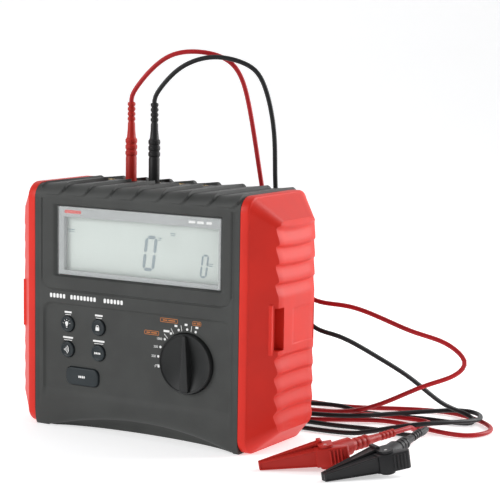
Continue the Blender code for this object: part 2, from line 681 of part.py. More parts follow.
def smooth_curve(route, fine=40):
    """A natural cubic spline through the route's points, read at many places."""
    route = np.array(route)
    knots = np.concatenate(([0.0], np.cumsum(np.linalg.norm(np.diff(route, axis=0), axis=1) ** 0.5)))
    span = np.diff(knots)[:, None]
    slope = np.diff(route, axis=0) / span
    count = len(route)
    system = np.eye(count)
    right = np.zeros((count, 3))
    for i in range(1, count - 1):
        before, after = float(span[i - 1, 0]), float(span[i, 0])
        system[i, i - 1:i + 2] = before, 2 * (before + after), after
        right[i] = 6 * (slope[i] - slope[i - 1])
    bend = np.linalg.solve(system, right)
    pieces = []
    for i in range(count - 1):
        u = np.linspace(0, 1, fine, endpoint=False)[:, None]
        rest = 1 - u
        wave = (rest ** 3 - rest) * bend[i] + (u ** 3 - u) * bend[i + 1]
        pieces.append(rest * route[i] + u * route[i + 1] + wave * span[i] ** 2 / 6)
    return np.concatenate(pieces + [route[-1:]])


def lead_line(route, count):
    """Points along the smooth curve, closer together where it bends."""
    curve = smooth_curve(route)
    steps = np.diff(curve, axis=0)
    length = np.linalg.norm(steps, axis=1)
    heading = steps / length[:, None]
    turn = np.arccos(np.clip((heading[1:] * heading[:-1]).sum(axis=1), -1, 1))
    share = np.cumsum(np.concatenate(([0.0, length[0]], length[1:] + LEAD_TURN * turn)))
    places = np.linspace(0, share[-1], count)
    return np.stack([np.interp(places, share, curve[:, k]) for k in range(3)], axis=1)


def leads():
    for colour, route in LEAD_ROUTES.items():
        line = lead_line(route, LEAD_POINTS)
        tube(f"{colour}_lead", line, LEAD_R, f"{colour}_rubber")


# ---- clips --------------------------------------------------------------
def clip_slab(name, outline, low, high, frame, finish=None):
    return slab(name, outline, high - low, frame @ Matrix.Translation((0, 0, (low + high) / 2)),
                finish)


def jaw_half(name, side, frame, finish, tall):
    """A tapering wedge from the flange to the tip, on one side of the middle plane."""
    mesh = bpy.data.meshes.new(name)
    bm = bmesh.new()
    bmesh.ops.create_cube(bm, size=1.0)
    for vert in bm.verts:
        at_tip = vert.co.x < 0
        width = 0.0026 if at_tip else 0.0080
        height = TIP_TALL if at_tip else tall
        vert.co.x = -JAW if at_tip else 0.001
        vert.co.y = side * (GAP / 2 if vert.co.y * side < 0 else width)
        vert.co.z = math.copysign(height, vert.co.z)
    bmesh.ops.recalc_face_normals(bm, faces=bm.faces)
    bm.to_mesh(mesh)
    bm.free()
    obj = link(bpy.data.objects.new(name, mesh), finish)
    obj.matrix_world = frame
    return obj


def clip(colour):
    frame, finish = clip_frame(colour), f"{colour}_rubber"
    pivot = frame @ Matrix.Translation((*PIVOT, 0))
    fixed = fixed_half(colour, frame, finish)
    moving = moving_half(colour, frame, finish)
    hole = 0.0013
    for half, name in ((fixed, "body"), (moving, "jaw")):
        cut(half, rod(f"{colour}_{name}_hole", pivot @ Vector((0, 0, -0.02)),
                      pivot @ Vector((0, 0, 0.02)), hole, sides=12))
    cut(moving, rod(f"{colour}_spring_room", pivot @ Vector((0, 0, -0.0028)),
                    pivot @ Vector((0, 0, 0.0028)), 0.0034, sides=16))
    hang(moving, pivot)
    rod(f"{colour}_clip_pin", pivot @ Vector((0, 0, -EAR_TALL)), pivot @ Vector((0, 0, EAR_TALL)),
        hole - GAP, "steel", sides=12)
    coil(f"{colour}_clip_spring", pivot)


def hang(obj, frame):
    """Parents a moving piece to an empty on its joint's axis."""
    empty = bpy.data.objects.new(f"{obj.name}_pivot", None)
    PARTS.objects.link(empty)
    empty.matrix_world = frame
    obj.parent = empty
    obj.matrix_parent_inverse = frame.inverted()


def fixed_half(colour, frame, finish):
    """The half that holds the flange, the ears of the hinge and the plug's socket."""
    px, py = PIVOT
    ear_r = 0.0045
    half = jaw_half(f"{colour}_clip_body", 1, frame, finish, CLIP_TALL - 0.001)
    flange = [(0, 0.0002), (FLANGE, 0.0002), (FLANGE, 0.0088), (0, 0.0088)]
    join(half, clip_slab(f"{colour}_flange", flange, -CLIP_TALL, CLIP_TALL, frame))
    plug = far_plug_frame(colour)
    join(half, rod(f"{colour}_boss", plug @ Vector((0, 0, -0.0090)), plug @ Vector((0, 0, 0.0130)),
                   0.0056, sides=20))
    room = LUG + GAP
    ear = [(0.0, 0.004), (px - ear_r, py)] + arc((px, py), ear_r, 180, 360, 6) + [(0.009, 0.004)]
    join(half, clip_slab(f"{colour}_ear_top", ear, room, EAR_TALL, frame))
    join(half, clip_slab(f"{colour}_ear_low", ear, -EAR_TALL, -room, frame))
    swing = [(-0.0040, -0.02), (0.013, -0.02), (0.013, -0.0012), (0.0045, 0.0007), (-0.0040, 0.0007)]
    cut(half, clip_slab(f"{colour}_room", swing, -room, room, frame))
    cut(half, rod(f"{colour}_bore", plug @ Vector((0, 0, 0.0037)), plug @ Vector((0, 0, 0.02)),
                  HANDLE_R + GAP, sides=16))
    cut(half, rod(f"{colour}_pin_bore", plug @ Vector((0, 0, -0.0045)), plug @ Vector((0, 0, 0.01)),
                  FAR_PIN_R + GAP, sides=16))
    return half


def moving_half(colour, frame, finish):
    """The half between the ears, with the lever that the thumb presses."""
    half = jaw_half(f"{colour}_clip_jaw", -1, frame, finish, LUG)
    lever = [(-0.003, -0.0002), (0.0035, -0.0002), (0.012, -0.0038), (0.0150, -0.0058)] \
        + arc((0.0145, -0.0088), 0.003, 60, -90, 4) + [(0.004, -0.0100), (-0.003, -0.0080)]
    join(half, clip_slab(f"{colour}_lever", lever, -LUG, LUG, frame))
    return half


def coil(name, frame):
    """A torsion spring round the pivot pin."""
    turns, per_turn, radius, rise = 4, 8, 0.0022, 0.0048
    count = turns * per_turn
    points = []
    for i in range(count + 1):
        angle = 2 * math.pi * i / per_turn
        local = Vector((radius * math.cos(angle), radius * math.sin(angle),
                        rise * (i / count - 0.5)))
        points.append(frame @ local)
    tube(name, points, 0.0003, "steel")


def build():
    front_case()
    back_cover()
    case_screws()
    side_cover(-1)
    side_cover(1)
    display()
    buttons()
    rotary_switch()
    boards()
    batteries()
    terminals()
    for colour, number in (("red", 1), ("black", 2)):
        near_plug(colour, SOCKET_X + SOCKET_PITCH * number)
        far_plug(colour)
        clip(colour)
    leads()


build()
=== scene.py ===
import json
import math

import bmesh
import bpy
import numpy as np
from mathutils import Matrix, Vector


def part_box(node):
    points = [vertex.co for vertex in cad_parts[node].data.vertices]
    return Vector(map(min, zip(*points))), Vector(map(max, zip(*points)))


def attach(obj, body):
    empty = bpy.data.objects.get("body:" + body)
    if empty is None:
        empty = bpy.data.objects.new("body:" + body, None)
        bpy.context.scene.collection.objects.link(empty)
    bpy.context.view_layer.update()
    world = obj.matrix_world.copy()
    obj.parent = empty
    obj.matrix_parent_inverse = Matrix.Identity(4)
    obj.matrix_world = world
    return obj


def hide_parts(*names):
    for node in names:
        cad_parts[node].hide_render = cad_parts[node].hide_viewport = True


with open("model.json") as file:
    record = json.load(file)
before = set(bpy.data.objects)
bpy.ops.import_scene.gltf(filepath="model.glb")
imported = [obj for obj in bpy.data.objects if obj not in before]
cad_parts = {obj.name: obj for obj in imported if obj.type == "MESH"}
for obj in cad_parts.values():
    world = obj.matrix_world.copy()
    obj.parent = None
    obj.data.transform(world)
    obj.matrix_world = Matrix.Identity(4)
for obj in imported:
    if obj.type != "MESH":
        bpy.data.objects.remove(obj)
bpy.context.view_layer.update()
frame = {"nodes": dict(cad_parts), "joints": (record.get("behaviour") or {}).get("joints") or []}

# %% [markdown]
# The camera stands a little above the instrument and to its right, with a long lens, which
# keeps the edges of the case near to parallel. It is rolled by less than a degree.
# %% Camera
MM = 0.001
AIM = Vector((61.2, 8.5, 125.6)) * MM
AZIMUTH, ELEVATION, ROLL = math.radians(30.61), math.radians(7.27), math.radians(0.87)
DISTANCE, LENS = 1.1175, 123.0

back = Vector((math.sin(AZIMUTH) * math.cos(ELEVATION),
               -math.cos(AZIMUTH) * math.cos(ELEVATION), math.sin(ELEVATION)))
level = Vector((math.cos(AZIMUTH), math.sin(AZIMUTH), 0))
rise = back.cross(level)
right = level * math.cos(ROLL) + rise * math.sin(ROLL)
turn = Matrix((right, back.cross(right), back)).transposed()
camera = bpy.data.objects.new("camera", bpy.data.cameras.new("camera"))
camera.data.lens = LENS
camera.data.sensor_width = 36
camera.data.clip_start = 0.05
camera.matrix_world = Matrix.Translation(AIM + back * DISTANCE) @ turn.to_4x4()
bpy.context.scene.collection.objects.link(camera)
bpy.context.scene.camera = camera
bpy.context.scene.view_settings.view_transform = "Standard"
print("camera at", camera.location[:])

# %% [markdown]
# A material is a small graph of nodes. Writing each one as Python expressions keeps it
# readable, so this class wraps a socket and turns + and * into nodes.
# %% Expressions on sockets
class Wire:
    """A socket or a number, in a material's node tree."""

    def __init__(self, tree, socket):
        self.tree, self.socket = tree, socket

    def node(self, kind, settings=None, out=0, **inputs):
        return make_node(self.tree, kind, settings, out, **inputs)

    def maths(self, operation, *others):
        made = self.tree.nodes.new("ShaderNodeMath")
        made.operation = operation
        for slot, value in zip(made.inputs, (self, *others)):
            plug_in(self.tree, slot, value)
        return Wire(self.tree, made.outputs[0])

    def __add__(self, other):
        return self.maths("ADD", other)

    def __mul__(self, other):
        return self.maths("MULTIPLY", other)

    __radd__, __rmul__ = __add__, __mul__

    def above(self, low, high):
        """0 below low, 1 above high, and smooth between."""
        return self.node("ShaderNodeMapRange", {"interpolation_type": "SMOOTHSTEP"},
                         Value=self, From_Min=low, From_Max=high)


def plug_in(tree, slot, value):
    if isinstance(value, Wire):
        tree.links.new(value.socket, slot)
    else:
        slot.default_value = value


def make_node(tree, kind, settings=None, out=0, **inputs):
    made = tree.nodes.new(kind)
    for name, value in (settings or {}).items():
        setattr(made, name, value)
    for name, value in inputs.items():
        plug_in(tree, made.inputs[name.replace("_", " ")], value)
    return Wire(tree, made.outputs[out])


# %% [markdown]
# Every finish here is moulded, turned or printed, so one function makes them all: a base
# colour that drifts a little, roughness that drifts with it, and a fine grain in the bump.
# Scales are in turns per metre, because the patterns read the object's own coordinates.
# Dust is a pale tint on what faces upwards.
# %% The finish maker
DUST, GRAIN_HEIGHT = (0.62, 0.60, 0.57, 1.0), 0.0001


def finish(name, colour, rough=0.45, metal=0.0, grain=0.0, grain_scale=2600.0, drift=0.10,
           drift_scale=45.0, coat=0.0, dust=0.0, shine=0.25, **fixed):
    mat = bpy.data.materials.new(name)
    mat.use_nodes = True
    tree = mat.node_tree
    shader = tree.nodes["Principled BSDF"]
    place = make_node(tree, "ShaderNodeTexCoord", out="Object")
    cloud = place.node("ShaderNodeTexNoise", Vector=place, Scale=drift_scale, Detail=3.0)
    fine = place.node("ShaderNodeTexNoise", Vector=place, Scale=grain_scale, Detail=2.0)
    darker = tuple(c * (1 - drift) for c in colour) + (1.0,)
    lighter = tuple(min(1.0, c * (1 + drift)) for c in colour) + (1.0,)
    base = mix(tree, cloud.above(0.3, 0.7), darker, lighter)
    if dust:
        up = make_node(tree, "ShaderNodeNewGeometry", out="Normal")
        up = up.node("ShaderNodeSeparateXYZ", out="Z", Vector=up)
        settled = up.above(0.55, 1.0) * cloud.above(0.35, 0.75) * dust
        base = mix(tree, settled, base, DUST)
    plug_in(tree, shader.inputs["Base Color"], base)
    plug_in(tree, shader.inputs["Roughness"], cloud * 0.16 + (rough - 0.08) + fine * 0.04)
    shader.inputs["Metallic"].default_value = metal
    shader.inputs["Coat Weight"].default_value = coat
    shader.inputs["Specular IOR Level"].default_value = shine
    for socket, value in fixed.items():
        shader.inputs[socket.replace("_", " ")].default_value = value
    if grain:
        bump = fine.node("ShaderNodeBump", Height=fine, Strength=grain, Distance=GRAIN_HEIGHT)
        plug_in(tree, shader.inputs["Normal"], bump)
    mat.diffuse_color = (*colour, 1.0)
    return mat


def mix(tree, amount, first, second):
    made = tree.nodes.new("ShaderNodeMix")
    made.data_type = "RGBA"
    plug_in(tree, made.inputs[0], amount)
    plug_in(tree, made.inputs[6], first)
    plug_in(tree, made.inputs[7], second)
    return Wire(tree, made.outputs[2])


print("one maker for every finish")

# %% [markdown]
# The instrument has few materials: a spark-eroded grey case, glossy red end covers, a black
# knob and keys, a silver display frame, soft rubber on the plugs and clips, and metal inside.
# %% The finishes
CASE = finish("case_grey", (0.046, 0.048, 0.046), 0.52, grain=0.35, dust=0.03)
RED = finish("cover_red", (0.62, 0.020, 0.010), 0.42, grain=0.10, drift=0.04)
BLACK = finish("knob_black", (0.018, 0.019, 0.019), 0.42, grain=0.20)
KEY = finish("key_rubber", (0.020, 0.026, 0.029), 0.40, grain=0.15)
BEZEL = finish("display_silver", (0.33, 0.345, 0.345), 0.34, grain=0.12, drift=0.03)
LCD = finish("display_glass", (0.55, 0.605, 0.57), 0.30, drift=0.02)
SEGMENT = finish("display_segment", (0.20, 0.26, 0.285), 0.35, drift=0.04)
INK = finish("white_print", (0.80, 0.80, 0.79), 0.50, drift=0.03)
ORANGE = finish("orange_print", (0.46, 0.16, 0.045), 0.50, drift=0.05)
RED_RUBBER = finish("red_rubber", (0.42, 0.016, 0.010), 0.40, grain=0.25, drift=0.06)
BLACK_RUBBER = finish("black_rubber", (0.016, 0.016, 0.017), 0.42, grain=0.25)
RED_SHEATH = finish("red_sheath", (0.40, 0.010, 0.014), 0.38, grain=0.10, grain_scale=900.0)
BLACK_SHEATH = finish("black_sheath", (0.013, 0.013, 0.014), 0.38, grain=0.10, grain_scale=900.0)
STEEL = finish("zinc_steel", (0.58, 0.58, 0.57), 0.28, metal=1.0, grain=0.20, shine=0.5)
BRASS = finish("nickel_brass", (0.74, 0.62, 0.38), 0.26, metal=1.0, grain=0.12, shine=0.5)
BOARD = finish("solder_mask", (0.012, 0.13, 0.045), 0.40, grain=0.30, grain_scale=700.0)
CELL = finish("cell_sleeve", (0.03, 0.03, 0.045), 0.30, coat=0.4, drift=0.2)
WINDOW = finish("clear_window", (0.92, 0.95, 0.94), 0.10, drift=0.01, Alpha=0.10)
FLOOR = finish("studio_floor", (0.80, 0.80, 0.80), 0.70, drift=0.005, drift_scale=3.0,
               Emission_Color=(1, 1, 1, 1), Emission_Strength=0.50)
print("finishes", len(bpy.data.materials))

# %% [markdown]
# The studio is a pale floor that curves up into a wall, a broad lamp to the front left that
# lights the panel, a second one to the right rear that lights the grip of the red cover, and
# a soft one overhead.
# %% Floor and lamps
LAMP_AIM = Vector((0, 0, 0.08))


def studio_sweep():
    mesh = bpy.data.meshes.new("floor")
    bm = bmesh.new()
    front, bend, curve, top, half = -3.0, 1.6, 0.8, 3.0, 4.0
    profile = [(front, 0.0)] + [(bend + curve * math.sin(a), curve - curve * math.cos(a))
                                for a in np.linspace(0, math.pi / 2, 13)] + [(bend + curve, top)]
    verts = [bm.verts.new((-half, y, z)) for y, z in profile]
    edges = [bm.edges.new(pair) for pair in zip(verts, verts[1:])]
    swept = bmesh.ops.extrude_edge_only(bm, edges=edges)
    moved = [v for v in swept["geom"] if isinstance(v, bmesh.types.BMVert)]
    bmesh.ops.translate(bm, vec=(2 * half, 0, 0), verts=moved)
    bmesh.ops.rotate(bm, verts=bm.verts, matrix=Matrix.Rotation(AZIMUTH, 3, "Z"))
    bmesh.ops.recalc_face_normals(bm, faces=bm.faces)
    bm.to_mesh(mesh)
    bm.free()
    mesh.materials.append(FLOOR)
    mesh.shade_smooth()
    floor = bpy.data.objects.new("floor", mesh)
    bpy.context.scene.collection.objects.link(floor)


def lamp(name, place, size, power):
    data = bpy.data.lights.new(name, "AREA")
    data.shape = "RECTANGLE"
    data.size, data.size_y = size
    data.energy = power
    lit = bpy.data.objects.new(name, data)
    lit.location = place
    lit.rotation_euler = (LAMP_AIM - Vector(place)).to_track_quat("-Z", "Y").to_euler()
    bpy.context.scene.collection.objects.link(lit)


studio_sweep()
lamp("key", (-0.75, -1.15, 0.75), (0.8, 0.8), 14)
lamp("grip_light", (0.85, 0.85, 0.60), (0.6, 0.9), 16)
lamp("overhead", (0.0, 0.25, 1.35), (1.4, 1.1), 3)
world = bpy.data.worlds.new("studio")
bpy.context.scene.world = world
world.use_nodes = True
world.node_tree.nodes["Background"].inputs["Color"].default_value = (0.95, 0.96, 1.0, 1)
world.node_tree.nodes["Background"].inputs["Strength"].default_value = 0.28
print("three lamps and a sweep")

# %% [markdown]
# The helpers below are the shop tools: each makes one closed mesh with bmesh, gives it a
# finish, and puts it on the body that it moves with. A piece that stands for simulation
# nodes says so, and they are then hidden.
# %% Piece helpers
TOUCHING, SHARP = 0.000002, math.radians(35)


def shade(mesh):
    mesh.shade_smooth()
    mesh.set_sharp_from_angle(angle=SHARP)


def keep(name, bm, mat, body="root", replaces=(), slot=None):
    """Closes a shape, and makes it a piece that moves with a body."""
    bmesh.ops.remove_doubles(bm, verts=bm.verts, dist=TOUCHING)
    bmesh.ops.recalc_face_normals(bm, faces=bm.faces)
    mesh = bpy.data.meshes.new(name)
    bm.to_mesh(mesh)
    bm.free()
    piece = bpy.data.objects.new(name, mesh)
    bpy.context.scene.collection.objects.link(piece)
    mesh.materials.append(mat)
    shade(mesh)
    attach(piece, body)
    if replaces:
        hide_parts(*([replaces] if isinstance(replaces, str) else replaces))
    return piece


def bevel(bm, width, segments=3, edges=None, angle=30):
    if edges is None:
        limit = math.radians(angle)
        edges = [e for e in bm.edges if e.is_manifold and e.calc_face_angle(0) > limit]
    bmesh.ops.bevel(bm, geom=edges, offset=width, offset_type="OFFSET", segments=segments,
                    profile=0.5, affect="EDGES", clamp_overlap=True, material=-1)


def block(low, high, width=0.0, segments=3):
    """A box between two corners, with round edges."""
    low, high = Vector(low), Vector(high)
    bm = bmesh.new()
    bmesh.ops.create_cube(bm, size=1.0)
    bmesh.ops.scale(bm, vec=high - low, verts=bm.verts)
    bmesh.ops.translate(bm, vec=(low + high) / 2, verts=bm.verts)
    if width:
        bevel(bm, width, segments)
    return bm


def spun(profile, place=Matrix(), steps=48):
    """A turned shape: (radius, height) points spun about local Z."""
    bm = bmesh.new()
    verts = [bm.verts.new((r, 0, z)) for r, z in profile]
    edges = [bm.edges.new(pair) for pair in zip(verts, verts[1:])]
    bmesh.ops.spin(bm, geom=verts + edges, cent=(0, 0, 0), axis=(0, 0, 1), dvec=(0, 0, 0),
                   angle=2 * math.pi, steps=steps, use_merge=True, use_duplicate=False)
    bmesh.ops.remove_doubles(bm, verts=bm.verts, dist=TOUCHING)
    bmesh.ops.transform(bm, matrix=place, verts=bm.verts)
    return bm


def plate(outline, low, high, place=Matrix(), width=0.0, segments=2):
    """A flat outline between two heights of local Z."""
    bm = bmesh.new()
    face = bm.faces.new([bm.verts.new((x, y, low)) for x, y in outline])
    grown = bmesh.ops.extrude_face_region(bm, geom=[face])
    top = [v for v in grown["geom"] if isinstance(v, bmesh.types.BMVert)]
    bmesh.ops.translate(bm, vec=(0, 0, high - low), verts=top)
    if width:
        rim = [e for e in bm.edges if all(v in top for v in e.verts)]
        bevel(bm, width, segments, rim)
    bmesh.ops.transform(bm, matrix=place, verts=bm.verts)
    return bm


def arc(centre, radius, start, end, count=8):
    angles = np.radians(np.linspace(start, end, count + 1))
    return [(centre[0] + radius * math.cos(a), centre[1] + radius * math.sin(a)) for a in angles]


def rounded(width, height, radius, centre=(0, 0), count=6):
    x, y = width / 2 - radius, height / 2 - radius
    corners = ((x, y, 0), (-x, y, 90), (-x, -y, 180), (x, -y, 270))
    return [p for px, py, a in corners
            for p in arc((centre[0] + px, centre[1] + py), radius, a, a + 90, count)]


def facing(x, y, z):
    """Local Z points out of the panel, at the user."""
    return Matrix.Translation((x, y, z)) @ Matrix.Rotation(math.radians(90), 4, "X")


def behind(x, y, z):
    """Local Z points out of the back."""
    return Matrix.Translation((x, y, z)) @ Matrix.Rotation(math.radians(-90), 4, "X")


def merged(*shapes):
    """One bmesh from several, each of which is freed."""
    whole = bmesh.new()
    for shape in shapes:
        mesh = bpy.data.meshes.new("part")
        shape.to_mesh(mesh)
        shape.free()
        whole.from_mesh(mesh)
        bpy.data.meshes.remove(mesh)
    return whole


def carve(piece, shape, operation):
    """A Boolean of a closed piece and a closed shape, which is used up."""
    tool = bpy.data.objects.new("tool", bpy.data.meshes.new("tool"))
    bmesh.ops.recalc_face_normals(shape, faces=shape.faces)
    shape.to_mesh(tool.data)
    shape.free()
    bpy.context.scene.collection.objects.link(tool)
    mod = piece.modifiers.new("carve", "BOOLEAN")
    mod.operation, mod.solver, mod.object = operation, "EXACT", tool
    bpy.context.view_layer.update()
    made = bpy.data.meshes.new_from_object(
        piece.evaluated_get(bpy.context.evaluated_depsgraph_get()))
    piece.modifiers.clear()
    piece.data = made
    bpy.data.objects.remove(tool)
    shade(made)


def cut(piece, cutters):
    carve(piece, cutters, "DIFFERENCE")


def add(piece, extra):
    carve(piece, extra, "UNION")


print("helpers ready")

# %% [markdown]
# The leads come next, because they decide how far the model spreads. Each one is a single
# soft tube: out of its plug, over the back of the case, and in loose loops about the floor
# to its clip. The points are the route in millimetres, and a smooth curve runs through them.
# %% Lead routes
LEAD_R, LEAD_STEP = 0.0016, 0.003
ROUTES = {
    "red": [
        (-43.8, 23.5, 216.5), (-43.7, 23.6, 221.5), (-39.5, 24.8, 229.5), (-21.5, 31, 248.3),
        (-0.5, 40, 253.2), (19.5, 50, 246), (31.5, 55.5, 215), (47, 59, 132), (60, 61, 103),
        (81, 62, 87.6), (107, 66, 84.7), (147, 72, 72.2), (167, 75, 67.2), (178.7, 78, 61.2),
        (184.5, 80, 53), (176.5, 82, 43.3), (152.5, 84, 32.3), (103, 88, 9.5), (54, 92.5, 2.7),
        (44.5, 82.5, 2), (50.5, 72.5, 2), (66, 70.5, 2), (107, 93, 2), (131, 97, 2),
        (175, 87.5, 2), (187, 93, 2), (191.5, 106, 2), (185, 124, 2), (150, 146, 2), (112, 139, 2),
        (74, 123, 2), (50, 122.5, 2), (37, 118.5, 2), (31.5, 109, 2), (37.5, 100.5, 2),
        (50, 98.5, 2), (140, 113, 2), (149, 106, 2.4), (154, 90, 6.3), (155, 75, 3.8),
        (155.5, 67, 6.7), (160, 54, 10.6), (163.5, 43, 13.6), (162.5, 33.6, 13.9),
        (160.9, 28.3, 13.6), (159.7, 24.3, 13.3)],
    "black": [
        (-24.8, 23.5, 216.5), (-24.6, 23.6, 221.5), (-19.5, 25.6, 230.5), (-8, 29.5, 242.2),
        (6, 35, 248.8), (20, 40, 249.6), (35, 46, 245), (44.5, 49, 235.2), (53.5, 50.5, 202),
        (55, 51.5, 163.6), (66, 54, 98), (83, 58, 70), (99, 63, 64.5), (120, 80, 50.1),
        (138, 99, 33.2), (151, 123, 13.5), (160.5, 133.5, 6.8), (168, 133.5, 3.8),
        (171.3, 127, 2.2), (167, 121.5, 2), (157, 119.5, 2), (136, 119, 2), (90, 112.5, 2.5),
        (78, 111, 4.8), (38, 92, 6), (30, 82, 6), (35, 73, 6), (82, 75, 6), (108, 89, 6),
        (119, 102, 6), (143, 130.5, 6), (153, 139.5, 6), (165.5, 141, 6), (178, 124, 6.2),
        (168.5, 92, 8.4), (150, 69.5, 8.2), (127, 55, 3.8), (114, 50.5, 2.2), (65, 48.7, 2),
        (55, 52.5, 2), (54.5, 61.5, 2), (64, 65.5, 2), (98, 66.5, 2), (127, 70.5, 2),
        (151, 68, 2.2), (167, 56.5, 8), (173, 47.5, 13.4), (173.8, 38.3, 13.6), (174, 34.1, 13.3)],
}


def smooth_curve(route, fine=40):
    """A natural cubic spline through the route's points."""
    route = np.array(route) * MM
    span = (np.linalg.norm(np.diff(route, axis=0), axis=1) ** 0.5)[:, None]
    slope = np.diff(route, axis=0) / span
    count = len(route)
    system, rhs = np.eye(count), np.zeros((count, 3))
    for i in range(1, count - 1):
        before, after = float(span[i - 1, 0]), float(span[i, 0])
        system[i, i - 1:i + 2] = before, 2 * (before + after), after
        rhs[i] = 6 * (slope[i] - slope[i - 1])
    bend = np.linalg.solve(system, rhs)
    pieces = []
    for i in range(count - 1):
        u = np.linspace(0, 1, fine, endpoint=False)[:, None]
        wave = ((1 - u) ** 3 - (1 - u)) * bend[i] + (u ** 3 - u) * bend[i + 1]
        pieces.append((1 - u) * route[i] + u * route[i + 1] + wave * span[i] ** 2 / 6)
    return np.concatenate(pieces + [route[-1:]])


def evenly(curve, step):
    length = np.linalg.norm(np.diff(curve, axis=0), axis=1)
    along = np.concatenate(([0.0], np.cumsum(length)))
    places = np.linspace(0, along[-1], int(along[-1] / step) + 1)
    return np.stack([np.interp(places, along, curve[:, k]) for k in range(3)], axis=1), along[-1]


# %% [markdown]
# A curve object with a round bevel makes the tube. Points every 3 mm keep its bends round.
# %% Leads
def lead(colour, mat):
    line, length = evenly(smooth_curve(ROUTES[colour]), LEAD_STEP)
    curve = bpy.data.curves.new(f"{colour}_test_lead", "CURVE")
    curve.dimensions = "3D"
    curve.bevel_depth, curve.bevel_resolution = LEAD_R, 4
    curve.use_fill_caps = True
    curve.resolution_u = 1
    spline = curve.splines.new("POLY")
    spline.points.add(len(line) - 1)
    for point, place in zip(spline.points, line):
        point.co = (*place, 1)
    curve.materials.append(mat)
    piece = bpy.data.objects.new(f"{colour}_test_lead", curve)
    bpy.context.scene.collection.objects.link(piece)
    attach(piece, "root")
    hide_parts(f"{colour}_lead")
    print(colour, "lead", round(length, 3), "m")
    return piece, float(length)


LEADS = {"red": lead("red", RED_SHEATH), "black": lead("black", BLACK_SHEATH)}

# %% [markdown]
# The case is one thin moulding: it starts under the front edge, climbs the panel, turns over
# the shoulder and runs back along the top. That sheet is easiest to shape as a fine grid
# whose rows follow the section, and whose surface is then pressed in or raised by a formula.
# The same grid, moved inwards and plain, is the inner face, so the wall is closed.
# %% Sheet maker
def ruled(*stops):
    """Grid lines from (place, pitch) stops; each stretch is divided into equal parts."""
    lines = [stops[0][0]]
    for (start, _), (end, pitch) in zip(stops, stops[1:]):
        parts = max(1, round(abs(end - start) / pitch))
        lines += [start + (end - start) * k / parts for k in range(1, parts + 1)]
    return lines


def sheet(columns, rows, outer, inner):
    """A closed wall between two faces, each a function of a column and a row."""
    bm = bmesh.new()
    bmesh.ops.create_grid(bm, x_segments=len(columns) - 1, y_segments=len(rows) - 1, size=0.5)
    across, up = len(columns) - 1, len(rows) - 1
    place = {v: (columns[round((v.co.x + 0.5) * across)], rows[round((v.co.y + 0.5) * up)])
             for v in bm.verts}
    grown = bmesh.ops.extrude_face_region(bm, geom=list(bm.faces), use_keep_orig=True)
    front = [v for v in grown["geom"] if isinstance(v, bmesh.types.BMVert)]
    spot = {v.co.copy().freeze(): where for v, where in place.items()}
    for v in front:
        v.co = outer(*spot[v.co.copy().freeze()])
    for v, where in place.items():
        v.co = inner(*where)
    return bm


def smoothstep(x, low, high):
    t = min(1.0, max(0.0, (x - low) / (high - low)))
    return t * t * (3 - 2 * t)


def rect_inside(x, z, low, high, radius):
    """Distance from a round-cornered rectangle's outline, positive inside it."""
    qx = abs(x - (low[0] + high[0]) / 2) - (high[0] - low[0]) / 2 + radius
    qz = abs(z - (low[1] + high[1]) / 2) - (high[1] - low[1]) / 2 + radius
    return radius - math.hypot(max(qx, 0), max(qz, 0)) - min(max(qx, qz), 0)


print("sheet maker ready")

# %% [markdown]
# These are the case's own measures. The large ones come from the frame: the display's node
# gives the opening, the knob's node the dial, and the front case's node the ends. The others
# are the widths, depths and corners of the relief.
# %% Measures of the case
case_low, case_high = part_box("front_case")
rear_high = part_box("back_cover")[1]
knob_low, knob_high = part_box("knob")
bezel_low, bezel_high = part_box("display_bezel")
plate_low, plate_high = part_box("terminal_plate")
HALF = case_high.x
FRONT, SPLIT, BACK = case_low.y, case_high.y, rear_high.y
TOP, RIDGE = rear_high.z, case_high.z
WALL, GAP = 0.0025, 0.0003
SHOULDER, REAR_SHOULDER = 0.009, 0.006
KNOB_X, KNOB_Z = (knob_low.x + knob_high.x) / 2, (knob_low.z + knob_high.z) / 2
KNOB_R = 0.0196
PANEL = ((-0.0737, 0.0247), (0.0755, 0.0855))
PANEL_DEPTH, PANEL_CORNER, PANEL_EDGE, LEDGE = 0.0012, 0.007, 0.0016, (0.0215, 0.0275)
RIM_DEPTH, RIM = 0.0018, (0.0036, 0.0022, 0.0016, 0.0018)
FRAME_LINE, FRAME_CORNER = ((-0.0747, 0.0940), (0.0747, 0.1850)), 0.008
LINE_WIDE, LINE_DEEP = 0.0007, 0.0006
STRIP_X, STRIP_WIDE, REAR_LINE_X = 0.0770, 0.0006, 0.0660
STEP_FIRST, STEP_PITCH, STEPS = -0.0566, 0.01942, 8
STEP_FRONT_Z, TONGUE_R, STEP_EDGE, STEP_CURVE = 0.1572, 0.0065, 0.0004, 1.3
MID_STEP, HOOKS_FROM, HOOK_SHARE, MOST_PROUD = 0.02, 0.15, 0.6, 0.0012
ARCH_X, ARCH_HALF, ARCH_TALL, ARCH_DEEP = 0.003, 0.0735, 0.0215, 0.0155
ARCH_ENDS, ARCH_LIFT, ARCH_SPLIT = (0.0100, 0.0050), 0.45, 0.4
print("case", round(2 * HALF, 4), "wide,", round(BACK - FRONT, 4), "deep")

# %% [markdown]
# What the surface does is the deepest of a few reliefs, each a function of the place on the
# panel: the sunk control panel, the sloped rim round the display, a fine groove that frames
# the display, and two more grooves that run up beside the red covers.
# %% Reliefs of the panel
def display_rim(x, z):
    left, right_side, low, high = RIM
    reach = min((x - bezel_low.x + left) / left, (bezel_high.x + right_side - x) / right_side,
                (z - bezel_low.z + low) / low, (bezel_high.z + high - z) / high)
    return RIM_DEPTH * smoothstep(reach, 0.0, 1.0)


